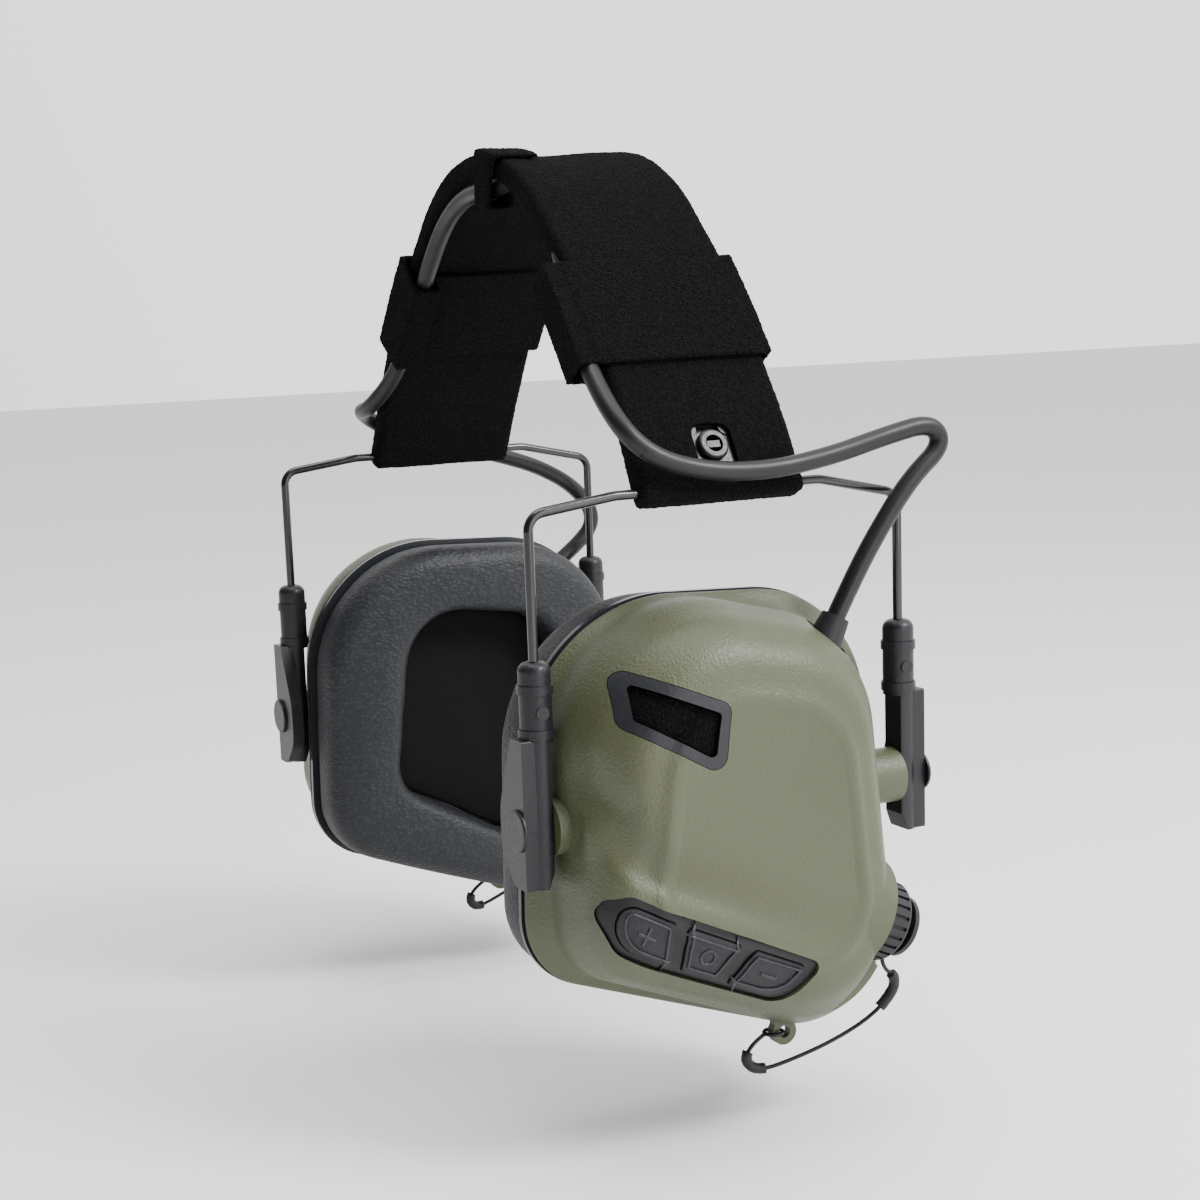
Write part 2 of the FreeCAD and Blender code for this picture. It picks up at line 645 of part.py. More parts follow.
MIC_TILT_FRONT = math.radians(14.0)
MIC_OUT = V(math.cos(MIC_TILT_FRONT), -math.sin(MIC_TILT_FRONT), 0.16).normalize()
MIC_U = (V(0, 0, 1) - MIC_OUT * MIC_OUT.z).normalize()
MIC = Frame(V(99.0, -21.0, level(22.0)), MIC_U.cross(MIC_OUT), MIC_U, MIC_OUT)
MIC_OUTLINE = ((-15.2, 14.6), (10.4, 4.4), (8.6, -11.0), (-14.8, 1.6))
MIC_ROUNDS = (3.0, 3.0, 3.0, 3.0)
MIC_WINDOW = ((-11.8, 10.6), (8.0, 2.7), (6.6, -7.4), (-11.4, 2.6))
MIC_WINDOW_ROUNDS = (1.0, 1.0, 1.4, 1.4)


def grown(frame, outline, rounds, margin, n0, n1):
    """The prism of a rounded outline, grown or shrunk all round by a margin."""
    points = [frame.at(s, u, n0) for s, u in outline]
    wire = rounded_wire(points, rounds, True)
    if margin:
        wire = wire.makeOffset2D(margin)
    return Part.Face(wire).extrude(frame.n * (n1 - n0))


def shell_body(inset):
    """Solid moulded form of the shell, or of its hollow when inset by the wall."""
    depth = SHELL_DEPTH - inset
    wires = [hull_wire(blended(blend), SHELL_X + share * depth, scale, -inset)
             for share, blend, scale in SHELL_SECTIONS]
    body = Part.makeLoft(wires, True, False)
    front = CAP.at(0, 0, -TUBE_LENGTH - 3.0)
    ridge = bar(RIDGE_RADIUS - inset, front, CAP.at(0, 0, 0)).fuse(Part.makeSphere(RIDGE_RADIUS - inset, front))
    room = slab(WAIST_CIRCLES, SHELL_X, TUBE_X + 40, 0.96, -inset)
    return body.fuse(ridge.common(room))


def cap_guard():
    """Half ring of the battery housing that shields the cap on the head side."""
    guard = bar(RIDGE_RADIUS, CAP.at(0, 0, -6), CAP.at(0, 0, LIP_LENGTH))
    guard = guard.cut(bar(CAP_RADIUS + 0.8, CAP.at(0, 0, GAP), CAP.at(0, 0, 20)))
    return guard.cut(CAP.block(-30, 30, -3.0, 30, GAP, 20))


def eyelet_middle():
    return V(TUBE_X - 9.0, 13.0, level(-57.4))


def eyelet():
    """Small ring under the shell that the tether is tied to, and its bore."""
    middle = eyelet_middle()
    half = V(1.2, 0, 0)
    ring = bar(EYELET_RADIUS, middle - half, middle + half)
    stem = box(middle.x - half.x, middle.x + half.x, middle.y - 2.6, middle.y + 2.6, middle.z, middle.z + 6.0)
    return ring.fuse(stem), bar(EYELET_BORE_RADIUS, middle - half * 2, middle + half * 2)


def outer_shell(has_panel, gland):
    """Moulded shell: domed cover, battery housing, pivot bosses, cap guard and tether eyelet."""
    form = shell_body(0.0)
    form = form.cut(bar(CAP_RADIUS + 0.8, CAP.at(0, 0, GAP), CAP.at(0, 0, 30)))
    form = form.cut(CAP.block(-CAP_RADIUS - 0.8, CAP_RADIUS + 0.8, 0, 30, GAP, 30))
    form = form.cut(CAP.block(-30, 30, 2.0, 30, GAP, 30)).fuse(cap_guard())
    hollow = shell_body(SHELL_WALL)
    hollow = hollow.cut(bar(CAP_RADIUS + 0.8 + SHELL_WALL, CAP.at(0, 0, -SHELL_WALL), CAP.at(0, 0, 30)))
    hollow = hollow.cut(CAP.block(-30, 30, 2.0 - SHELL_WALL, 30, -SHELL_WALL, 30))
    wall = form.cut(hollow)
    solid = wall
    seat = bar(GLAND_SEAT_RADIUS + SHELL_WALL, gland.at(0, 0, -SHELL_WALL), gland.at(0, 0, 14)).common(form)
    solid = solid.fuse(seat).cut(bar(GLAND_SEAT_RADIUS, gland.at(0, 0, 0), gland.at(0, 0, 20)))
    for away in (-1, 1):
        boss = bar(BOSS_RADIUS, V(LEG_X, away * (ARM_FLAT_Y - GAP - BOSS_DEPTH), level(0)),
                   V(LEG_X, away * (ARM_FLAT_Y - GAP), level(0)))
        bore = bar(PIN_RADIUS + RUNNING, V(LEG_X, away * (PADDLE_Y + PADDLE_THICKNESS - PIN_LENGTH - 0.5), level(0)),
                   V(LEG_X, away * 60, level(0)))
        solid = solid.fuse(boss).cut(bore)
    ring, hole = eyelet()
    solid = solid.fuse(ring.cut(hollow)).cut(hole)
    solid = solid.cut(bar(TUBE_OUTER_RADIUS + SEAT_GAP, CAP.at(0, 0, -12), CAP.at(0, 0, 1)))
    solid = solid.cut(grown(MIC, MIC_OUTLINE, MIC_ROUNDS, SEAT_GAP, -12, 8))
    if has_panel:
        solid = solid.cut(grown(PANEL, PANEL_OUTLINE, PANEL_ROUNDS, SEAT_GAP, -12, 8))
    return solid, wall


def base_plate():
    """Black plate between the cushion and the shell, with the speaker's opening."""
    back = PLATE_X + PLATE_THICKNESS - SEAT_GAP
    plate = slab(BASE_CIRCLES, PLATE_X, PLATE_X + 1.4, 0.99)
    core = slab(BASE_CIRCLES, PLATE_X + 1.3, back, 0.955)
    rim = slab(BASE_CIRCLES, PLATE_X + 2.1, back, 0.98)
    spigot = slab(blended(0.7), back - 0.1, SHELL_X + 1.6, 0.965, -SHELL_WALL - 0.6)
    spigot = spigot.cut(slab(blended(0.7), back - 0.2, SHELL_X + 3.0, 0.965, -SHELL_WALL - 2.0))
    plate = fuse(plate, core, rim, spigot)
    middle = V(PLATE_X - 5, CUP_MIDDLE[0] - 1, level(0))
    return plate.cut(Part.makeCylinder(SPEAKER_RADIUS - 3, 20, middle, V(1, 0, 0)))


def ear_cushion():
    """Ring cushion with the ear's opening through it."""
    back = CUSHION_FACE_X + CUSHION_THICKNESS
    solid = slab(BASE_CIRCLES, CUSHION_FACE_X, back, CUSHION_SCALE)
    face_edges = [e for e in solid.Edges if e.BoundBox.XMax < CUSHION_FACE_X + 0.01]
    back_edges = [e for e in solid.Edges if e.BoundBox.XMin > back - 0.01]
    solid = solid.makeFillet(CUSHION_ROUND, face_edges).makeFillet(2.0, back_edges)
    solid = solid.cut(slab(EAR_CIRCLES, CUSHION_FACE_X - 1, back + 1))
    face = [e for e in solid.Edges if e.BoundBox.XMax < CUSHION_FACE_X + 0.01]
    inner = slab(EAR_CIRCLES, CUSHION_FACE_X - 1, back + 1, 1.0, 0.5)
    lip = [e for e in face if inner.isInside(e.CenterOfMass, 0.01, True) or inner.isInside(e.Vertexes[0].Point, 0.01, True)]
    return solid.makeFillet(3.5, lip)


def ear_liner():
    """Foam-backed fabric disc over the plate, inside the cushion's opening."""
    x1 = CUSHION_FACE_X + CUSHION_THICKNESS
    return slab(EAR_CIRCLES, x1 - LINER_THICKNESS, x1, 1.0, -GAP)


def speaker():
    """Round driver behind the plate: frame, cone dish and magnet."""
    back = SHELL_X + SEAT_GAP
    middle_y = CUP_MIDDLE[0] - 1
    frame = Part.makeCylinder(SPEAKER_RADIUS, 2.0, V(back, middle_y, level(0)), V(1, 0, 0))
    basket = Part.makeCone(SPEAKER_RADIUS - 1.5, 12.0, 2.5, V(back + 2.0, middle_y, level(0)), V(1, 0, 0))
    magnet = Part.makeCylinder(10.0, SPEAKER_DEPTH - 4.5, V(back + 4.5, middle_y, level(0)), V(1, 0, 0))
    dish = Part.makeCone(SPEAKER_RADIUS - 4, 6.0, 3.0, V(back - 0.01, middle_y, level(0)), V(1, 0, 0))
    return fuse(frame, basket, magnet).cut(dish)


def board_x():
    return SHELL_X + SPEAKER_DEPTH + 2 * SEAT_GAP


def circuit_board():
    """Board behind the speaker, with its chips."""
    x0 = board_x()
    board = slab(BASE_CIRCLES, x0, x0 + BOARD_THICKNESS, 0.62)
    chips = [box(x0 + BOARD_THICKNESS - 0.1, x0 + BOARD_THICKNESS + 1.4, y, y + w, level(z), level(z + h))
             for y, w, z, h in ((-12, 8, 12, 8), (4, 6, 16, 5), (-20, 5, 4, 5))]
    relief = bar(TUBE_OUTER_RADIUS + 1.0, CAP.at(0, 0, -TUBE_LENGTH - 4), CAP.at(0, 0, 4))
    return fuse(board, *chips).cut(relief)


def mic_frame(wall):
    """Moulded bezel that fills the microphone window flush with the shell."""
    solid = wall.common(grown(MIC, MIC_OUTLINE, MIC_ROUNDS, 0, -12, 8))
    return solid.cut(grown(MIC, MIC_WINDOW, MIC_WINDOW_ROUNDS, 0, -12, 8))


def mic_foam(wall):
    """Wind foam set back in the bezel."""
    solid = wall.common(grown(MIC, MIC_WINDOW, MIC_WINDOW_ROUNDS, -SEAT_GAP, -12, 8))
    solid.translate(MIC.n * -1.2)
    return solid


def mic_capsule():
    """Microphone behind the wind foam."""
    return bar(3.0, MIC.at(-1.5, 1.0, -4.0), MIC.at(-1.5, 1.0, 0.0))


def battery_tube():
    """Cell holder with the cap's bore at its mouth."""
    solid = bar(TUBE_OUTER_RADIUS, CAP.at(0, 0, -TUBE_LENGTH), CAP.at(0, 0, 0))
    solid = solid.cut(bar(CELL_RADIUS + 0.25, CAP.at(0, 0, TUBE_END_WALL - TUBE_LENGTH), CAP.at(0, 0, 1)))
    return solid.cut(bar(CAP_SPIGOT_RADIUS + RUNNING, CAP.at(0, 0, -CAP_SPIGOT_LENGTH - 0.6), CAP.at(0, 0, 1)))


def battery():
    """Small cell with its button end inwards."""
    tail = -CAP_SPIGOT_LENGTH - GAP
    can = bar(CELL_RADIUS, CAP.at(0, 0, tail - CELL_LENGTH + CELL_BUTTON_HEIGHT), CAP.at(0, 0, tail))
    tip = bar(1.9, CAP.at(0, 0, tail - CELL_LENGTH), CAP.at(0, 0, tail - CELL_LENGTH + 1.6))
    return fuse(can, tip)


def battery_cap():
    """Ribbed screw cap with a neck for the tether's ring and an end disc."""
    head = bar(CAP_RADIUS, CAP.at(0, 0, 2 * GAP), CAP.at(0, 0, CAP_LENGTH))
    rim = [e for e in head.Edges if (e.CenterOfMass - CAP.at(0, 0, CAP_LENGTH)).Length < 0.1]
    head = head.makeFillet(0.8, rim)
    spigot = bar(CAP_SPIGOT_RADIUS, CAP.at(0, 0, -CAP_SPIGOT_LENGTH), CAP.at(0, 0, 1))
    neck_end = CAP_LENGTH + CAP_NECK_LENGTH
    neck = bar(CAP_NECK_RADIUS, CAP.at(0, 0, CAP_LENGTH - 1), CAP.at(0, 0, neck_end + 0.1))
    disc = bar(CAP_DISC_RADIUS, CAP.at(0, 0, neck_end), CAP.at(0, 0, neck_end + CAP_DISC_THICKNESS))
    solid = fuse(head, spigot, neck, disc)
    slots = []
    for k in range(CAP_RIBS):
        slot = CAP.block(CAP_RADIUS - 0.6, CAP_RADIUS + 1, -0.42, 0.42, 1.2, CAP_LENGTH - 0.9)
        slot.rotate(CAP.origin, CAP.n, 360.0 / CAP_RIBS * k)
        slots.append(slot)
    return solid.cut(Part.makeCompound(slots))


def tether_route():
    """From under the cap's neck down and forward to the eyelet's link."""
    groove = CAP_LENGTH + CAP_NECK_LENGTH / 2
    ring = eyelet_middle()
    return [
        CAP.at(-CAP_NECK_RADIUS - 0.95, 0, groove),
        CAP.at(-CAP_RADIUS - 0.8, 0, groove + 1.6),
        V(TUBE_X, 39.2, level(-46.4)),
        V(TUBE_X - 0.8, 38.0, level(-51.0)),
        V(TUBE_X - 2.2, 32.6, level(-56.2)),
        V(TUBE_X - 4.0, 23.6, level(-60.6)),
        V(TUBE_X - 6.0, 14.0, level(-63.8)),
        V(TUBE_X - 8.0, 6.0, level(-65.8)),
        V(TUBE_X - 9.0, 2.6, level(-63.2)),
        V(TUBE_X - 9.0, 4.4, level(-59.4)),
        ring - V(0, EYELET_RADIUS - 0.85 + LINK_RADIUS, 0),
    ]


def tether_wire():
    """Thin lanyard with a ring round the cap's neck and a link through the eyelet."""
    line = cord("tether_wire", tether_route(), TETHER_DIAMETER)
    ring = Part.makeTorus(CAP_NECK_RADIUS + 0.95, TETHER_DIAMETER / 2,
                          CAP.at(0, 0, CAP_LENGTH + CAP_NECK_LENGTH / 2), CAP.n)
    link = Part.makeTorus(LINK_RADIUS, TETHER_DIAMETER / 2,
                          eyelet_middle() - V(0, EYELET_RADIUS - 0.85, 0), V(0, 0, 1))
    return fuse(line, ring, link)


def tether_sleeves():
    """Heat-shrink sleeves over the lanyard's two ends."""
    points = tether_route()
    radii = cord_radii(points)
    sleeves = []
    for k in (2, 8):
        part = [(points[k - 1] + points[k]) * 0.5, points[k], points[k + 1], (points[k + 1] + points[k + 2]) * 0.5]
        wire = rounded_wire(part, [0, radii[k], radii[k + 1], 0], False)
        sleeves.append(tube(wire, SLEEVE_DIAMETER / 2).cut(tube(wire, TETHER_DIAMETER / 2 + 0.02)))
    return Part.makeCompound(sleeves)


def cable_gland(frame):
    """Tapered strain relief with a flange against the shell."""
    boot = Part.makeCone(GLAND_BASE_RADIUS, GLAND_TIP_RADIUS, GLAND_LENGTH - 0.3, frame.at(0, 0, 0.3), frame.n)
    flange = bar(GLAND_BASE_RADIUS + 0.9, frame.at(0, 0, 0.3), frame.at(0, 0, 2.1))
    bore = bar(CABLE_RADIUS + GAP, frame.at(0, 0, GLAND_GRIP - GAP), frame.at(0, 0, GLAND_LENGTH + 1))
    return fuse(boot, flange).cut(bore)


def plate_screws():
    """Four screws that hold the plate to the shell."""
    screws = []
    for y, z in ((-30.0, 24.0), (28.0, 20.0), (-33.0, -26.0), (16.0, -47.0)):
        head = Part.makeCylinder(2.4, 1.4, V(SHELL_X - 0.01 + SEAT_GAP, y, level(z)), V(1, 0, 0))
        shaft = Part.makeCylinder(1.2, 6.0, V(SHELL_X + 1.0, y, level(z)), V(1, 0, 0))
        screws.append(head.fuse(shaft))
    return Part.makeCompound(screws)


def key_panel(wall):
    """Soft-touch panel set a little below the shell, pocketed for three buttons."""
    solid = wall.common(grown(PANEL, PANEL_OUTLINE, PANEL_ROUNDS, 0, -6, 8))
    solid.translate(PANEL.n * -PANEL_DEPTH_BELOW)
    for _, corners, rounds in BUTTONS:
        solid = solid.cut(grown(PANEL, corners, rounds, GAP, -16, 8))
    return solid


def button_middle(corners):
    return [sum(c[k] for c in corners) / len(corners) for k in (0, 1)]


def button(wall, core, corners, rounds):
    """Button cap with a short stem towards its switch."""
    cap = wall.common(grown(PANEL, corners, rounds, 0, -6, 8))
    cap.translate(PANEL.n * -BUTTON_DEPTH_BELOW)
    s, u = button_middle(corners)
    stem = bar(STEM_RADIUS, PANEL.at(s, u, 4.0), PANEL.at(s, u, SWITCH_TOP + BUTTON_TRAVEL + 0.2))
    return cap.fuse(stem.common(core))


def key_switches():
    """Three press switches behind the buttons, on one carrier strip."""
    base = SWITCH_TOP - SWITCH_HEIGHT
    half = SWITCH_SIZE / 2
    places = [button_middle(corners) for _, corners, _ in BUTTONS]
    strip = PANEL.block(places[0][0] - half, places[2][0] + half, -3.6, 3.6, base - 1.2, base)
    switches = [PANEL.block(s - half, s + half, u - half, u + half, base - 0.1, SWITCH_TOP) for s, u in places]
    return fuse(strip, *switches)


# ---------------------------------------------------------------- assembly
def cup_parts(side):
    """All nodes of one cup, its arms and its yoke, by name; side is 1 on the left."""
    gland = LEFT_GLAND if side > 0 else RIGHT_GLAND.mirrored()
    shell, wall = outer_shell(side > 0, gland)
    nodes = {
        "yoke_wire": yoke_wire(),
        "wire_clamp": wire_clamp(),
        "front_arm": arm(),
        "rear_arm": reversed_y(arm()),
        "front_pivot_pin": pivot_pin(),
        "rear_pivot_pin": reversed_y(pivot_pin()),
        "outer_shell": shell,
        "base_plate": base_plate(),
        "ear_cushion": ear_cushion(),
        "ear_liner": ear_liner(),
        "speaker": speaker(),
        "circuit_board": circuit_board(),
        "mic_frame": mic_frame(wall),
        "mic_foam": mic_foam(wall),
        "mic_capsule": mic_capsule(),
        "battery_tube": battery_tube(),
        "battery": battery(),
        "battery_cap": battery_cap(),
        "tether_wire": tether_wire(),
        "tether_sleeves": tether_sleeves(),
        "cable_gland": cable_gland(gland),
        "plate_screws": plate_screws(),
    }
    if side > 0:
        core = shell_body(SHELL_WALL * 0.5)
        core.translate(PANEL.n * -BUTTON_DEPTH_BELOW)
        nodes["key_panel"] = key_panel(wall)
        nodes["key_switches"] = key_switches()
        for name, corners, rounds in BUTTONS:
            nodes["button_" + name] = button(wall, core, corners, rounds)
    return nodes


def assembly():
    nodes = {
        "headband_cover": headband_cover(),
        "headband_pad": headband_pad(),
        "spring_strap": spring_strap(),
        "strap_rivets": strap_rivets(),
        "crown_cable_loop": crown_loop(),
        "left_cable_loop": left_loop(),
        "right_cable_loop": right_loop(),
        "cup_cable": cup_cable(),
    }
    for name, shape in cup_parts(1).items():
        nodes["left_" + name] = shape
    for name, shape in cup_parts(-1).items():
        nodes["right_" + name] = mirrored(shape)
    return nodes


def main():
    os.makedirs("parts", exist_ok=True)
    for name, shape in assembly().items():
        shape.exportStep("parts/%s.step" % name)
        print("%-26s solids %d valid %s volume %.1f" % (name, len(shape.Solids), shape.isValid(), shape.Volume))


main()
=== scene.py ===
"""Dresses the hearing protector: textiles, cushions, lead, tethers, key marks, finishes and a plain studio."""
import json
import math

import bmesh
import bpy
import numpy as np
from mathutils import Matrix, Vector, noise

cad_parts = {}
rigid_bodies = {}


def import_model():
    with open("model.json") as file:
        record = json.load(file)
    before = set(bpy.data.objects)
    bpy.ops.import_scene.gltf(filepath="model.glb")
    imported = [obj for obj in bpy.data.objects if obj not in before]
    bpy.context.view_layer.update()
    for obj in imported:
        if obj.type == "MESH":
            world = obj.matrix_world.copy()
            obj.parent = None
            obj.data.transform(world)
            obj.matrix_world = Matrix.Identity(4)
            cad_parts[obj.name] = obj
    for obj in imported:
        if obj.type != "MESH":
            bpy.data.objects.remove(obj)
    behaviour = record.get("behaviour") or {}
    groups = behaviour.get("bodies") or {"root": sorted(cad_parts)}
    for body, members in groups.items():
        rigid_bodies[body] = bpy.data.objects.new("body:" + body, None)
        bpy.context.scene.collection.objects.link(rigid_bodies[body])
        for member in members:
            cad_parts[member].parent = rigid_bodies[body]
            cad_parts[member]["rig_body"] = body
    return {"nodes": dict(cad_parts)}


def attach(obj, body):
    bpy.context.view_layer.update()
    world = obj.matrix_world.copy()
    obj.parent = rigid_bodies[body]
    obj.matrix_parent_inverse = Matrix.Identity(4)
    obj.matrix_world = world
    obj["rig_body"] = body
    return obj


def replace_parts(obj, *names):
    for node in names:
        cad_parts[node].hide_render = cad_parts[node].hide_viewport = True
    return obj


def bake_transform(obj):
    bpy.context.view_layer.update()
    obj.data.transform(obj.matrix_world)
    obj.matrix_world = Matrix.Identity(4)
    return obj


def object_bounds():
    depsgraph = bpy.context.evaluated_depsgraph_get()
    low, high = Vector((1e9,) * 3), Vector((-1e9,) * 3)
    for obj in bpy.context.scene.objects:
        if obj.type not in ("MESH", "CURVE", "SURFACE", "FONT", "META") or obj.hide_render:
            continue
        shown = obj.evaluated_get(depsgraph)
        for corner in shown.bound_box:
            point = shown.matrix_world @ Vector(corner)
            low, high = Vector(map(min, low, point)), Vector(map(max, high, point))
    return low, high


bl_info = {
    "name": "Hearing protector",
    "version": (1, 0, 0),
    "blender": (4, 2, 0),
    "location": "3D View > Sidebar > Headset",
    "description": "Builds the soft pieces and finishes of an electronic hearing protector",
    "category": "Object",
}

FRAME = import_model()
CAD_BOX = [list(corner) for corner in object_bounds()]
NODES = FRAME["nodes"]
SIDES = ("left", "right")
MM = 0.001
FLOOR_GAP = 0.012
PIVOT_X, PIVOT_Z = 80.5, -142.5
CLOTH_FRAMES = 12


# ---------------------------------------------------------------- sizes and colours
class HeadsetSizes(bpy.types.PropertyGroup):
    cable_diameter: bpy.props.FloatProperty(
        name="Cable diameter", description="Thickness of the lead between the cups",
        default=0.0044, min=0.002, max=0.008, unit="LENGTH", precision=4)
    tether_diameter: bpy.props.FloatProperty(
        name="Tether diameter", description="Thickness of the cap's lanyard",
        default=0.001, min=0.0005, max=0.002, unit="LENGTH", precision=4)
    sleeve_diameter: bpy.props.FloatProperty(
        name="Sleeve diameter", description="Thickness of the shrink sleeves on the lanyard",
        default=0.0026, min=0.0015, max=0.004, unit="LENGTH", precision=4)
    pile_height: bpy.props.FloatProperty(
        name="Pile height", description="Height of the textile's loops",
        default=0.00022, min=0.0, max=0.001, unit="LENGTH", precision=5)
    cushion_swell: bpy.props.FloatProperty(
        name="Cushion swell", description="The most a point of a cushion moves as it fills",
        default=0.0012, min=0.0, max=0.004, unit="LENGTH", precision=4)
    mark_height: bpy.props.FloatProperty(
        name="Mark height", description="Height of the raised marks on the buttons",
        default=0.00038, min=0.0, max=0.001, unit="LENGTH", precision=5)


class HeadsetColours(bpy.types.PropertyGroup):
    shell: bpy.props.FloatVectorProperty(
        name="Shell", description="Colour of the cups", subtype="COLOR",
        default=(0.064, 0.071, 0.034))
    textile: bpy.props.FloatVectorProperty(
        name="Textile", description="Colour of the headband and straps", subtype="COLOR",
        default=(0.0021, 0.0021, 0.0024))
    cushion: bpy.props.FloatVectorProperty(
        name="Cushion", description="Colour of the cushions' cover", subtype="COLOR",
        default=(0.017, 0.019, 0.023))
    plastic: bpy.props.FloatVectorProperty(
        name="Black plastic", description="Colour of the arms and small mouldings", subtype="COLOR",
        default=(0.009, 0.0095, 0.0115))
    backdrop: bpy.props.FloatVectorProperty(
        name="Backdrop", description="Colour of the floor", subtype="COLOR",
        default=(0.92, 0.92, 0.92))


def sizes():
    return bpy.context.scene.headset_sizes


def colours():
    return bpy.context.scene.headset_colours


# ---------------------------------------------------------------- finishes
class Finish:
    """A node material being put together, on the piece's own coordinates."""

    def __init__(self, name, colour, roughness, **inputs):
        self.material = bpy.data.materials.new(name)
        self.material.use_nodes = True
        self.nodes, self.links = self.material.node_tree.nodes, self.material.node_tree.links
        self.surface = self.nodes["Principled BSDF"]
        self.surface.inputs["Base Color"].default_value = (*colour, 1)
        self.surface.inputs["Roughness"].default_value = roughness
        for key, value in inputs.items():
            self.surface.inputs[key.replace("_", " ")].default_value = value
        self.colour = colour
        self.coordinates = self.nodes.new("ShaderNodeTexCoord").outputs["Object"]
        self.normal = None

    def node(self, kind, **inputs):
        made = self.nodes.new(kind)
        for key, value in inputs.items():
            target = made.inputs[key]
            if isinstance(value, bpy.types.NodeSocket):
                self.links.new(value, target)
            else:
                target.default_value = value
        return made

    def grain(self, scale, detail=2.0, stretch=(1, 1, 1)):
        mapping = self.node("ShaderNodeMapping", Vector=self.coordinates, Scale=stretch)
        return self.node("ShaderNodeTexNoise", Vector=mapping.outputs[0], Scale=scale, Detail=detail).outputs[0]

    def cells(self, scale, stretch=(1, 1, 1), feature="F1"):
        mapping = self.node("ShaderNodeMapping", Vector=self.coordinates, Scale=stretch)
        made = self.node("ShaderNodeTexVoronoi", Vector=mapping.outputs[0], Scale=scale)
        made.feature = feature
        return made.outputs[0]

    def steps(self, value, low, high, out_low=0.0, out_high=1.0):
        made = self.node("ShaderNodeMapRange", Value=value)
        for key, number in (("From Min", low), ("From Max", high), ("To Min", out_low), ("To Max", out_high)):
            made.inputs[key].default_value = number
        return made.outputs[0]

    def math(self, operation, a, b):
        made = self.nodes.new("ShaderNodeMath")
        made.operation = operation
        for k, value in enumerate((a, b)):
            if isinstance(value, bpy.types.NodeSocket):
                self.links.new(value, made.inputs[k])
            else:
                made.inputs[k].default_value = value
        return made.outputs[0]

    def bump(self, height, distance, strength=1.0):
        made = self.node("ShaderNodeBump", Height=height, Distance=distance, Strength=strength)
        if self.normal is not None:
            self.links.new(self.normal, made.inputs["Normal"])
        self.normal = made.outputs[0]
        self.links.new(self.normal, self.surface.inputs["Normal"])
        return self

    def tint(self, value, dark, light):
        ramp = self.nodes.new("ShaderNodeMix")
        ramp.data_type = "RGBA"
        self.links.new(value, ramp.inputs[0])
        ramp.inputs[6].default_value = (*[c * dark for c in self.colour], 1)
        ramp.inputs[7].default_value = (*[c * light for c in self.colour], 1)
        self.links.new(ramp.outputs[2], self.surface.inputs["Base Color"])
        return self

    def gloss(self, value, low, high):
        self.links.new(self.steps(value, 0.3, 0.7, low, high), self.surface.inputs["Roughness"])
        return self


def shell_finish():
    """Olive moulding with a fine spark-eroded grain."""
    made = Finish("olive_moulding", colours().shell, 0.5, Specular_IOR_Level=0.5)
    grain = made.grain(1500.0, 2.0)
    wide = made.grain(45.0, 3.0)
    made.tint(wide, 0.94, 1.06)
    made.gloss(grain, 0.40, 0.52)
    return made.bump(grain, 0.00022, 0.75).material


def plastic_finish(name, colour, roughness=0.42, grain=2200.0, depth=0.0001):
    made = Finish(name, colour, roughness, Specular_IOR_Level=0.35)
    fine = made.grain(grain, 2.0)
    made.tint(made.grain(60.0, 3.0), 0.85, 1.15)
    made.gloss(fine, roughness - 0.05, roughness + 0.06)
    return made.bump(fine, depth, 0.6).material


def metal_finish(name, colour, roughness, metallic=1.0, coat=0.0):
    made = Finish(name, colour, roughness, Metallic=metallic, Coat_Weight=coat)
    drawn = made.grain(700.0, 2.0, (1, 1, 0.15))
    made.tint(drawn, 0.9, 1.1)
    made.gloss(drawn, roughness * 0.85, roughness * 1.2)
    return made.bump(drawn, 0.00004, 0.4).material


def textile_finish(name, scale, depth, painted_highlight=3.0):
    """Black loop pile: matte, with painted highlights on the loop tops and painted shade in the pits."""
    made = Finish(name, colours().textile, 1.0, Sheen_Weight=0.012, Sheen_Roughness=0.6, Specular_IOR_Level=0.06)
    curls = made.grain(scale, 3.0)
    fine = made.grain(scale * 2.7, 2.0)
    height = made.math("ADD", curls, made.math("MULTIPLY", fine, 0.6))
    # Painted light: the colour follows the pile's height, darker in the pits as painted shade and lighter on the loop
    # tops as painted highlight.
    made.tint(made.steps(height, 0.74, 0.98), 0.3, painted_highlight)
    return made.bump(height, depth, 1.0).material


def leather_finish():
    """Soft grey-black leather cloth with a short pebbled grain, with painted shade in its creases and between the
    pebbles and painted highlights on the pebble tops.
    """
    made = Finish("leather_cloth", colours().cushion, 0.5, Specular_IOR_Level=0.4)
    pebbles = made.cells(1150.0, (1, 0.6, 1))
    creases = made.grain(700.0, 3.0, (1, 0.55, 1))
    height = made.math("ADD", made.steps(pebbles, 0.0, 0.7, 1.0, 0.0), creases)
    # Painted light: the colour follows the grain's height, darker in the creases and between the pebbles as painted
    # shade and lighter on the pebble tops as painted highlight.
    made.tint(made.steps(height, 0.8, 1.4), 0.6, 1.35)
    made.gloss(creases, 0.50, 0.60)
    return made.bump(height, 0.00018, 0.7).material


def woven_finish():
    """Thin knitted liner cloth."""
    made = Finish("liner_cloth", (0.0025, 0.0025, 0.003), 0.9, Sheen_Weight=0.04, Specular_IOR_Level=0.2)
    rib = made.nodes.new("ShaderNodeTexWave")
    rib.bands_direction = "Z"
    made.links.new(made.coordinates, rib.inputs["Vector"])
    rib.inputs["Scale"].default_value = 900.0
    made.tint(rib.outputs[1], 0.7, 1.4)
    return made.bump(made.math("ADD", rib.outputs[1], made.grain(2400.0)), 0.00008, 0.7).material


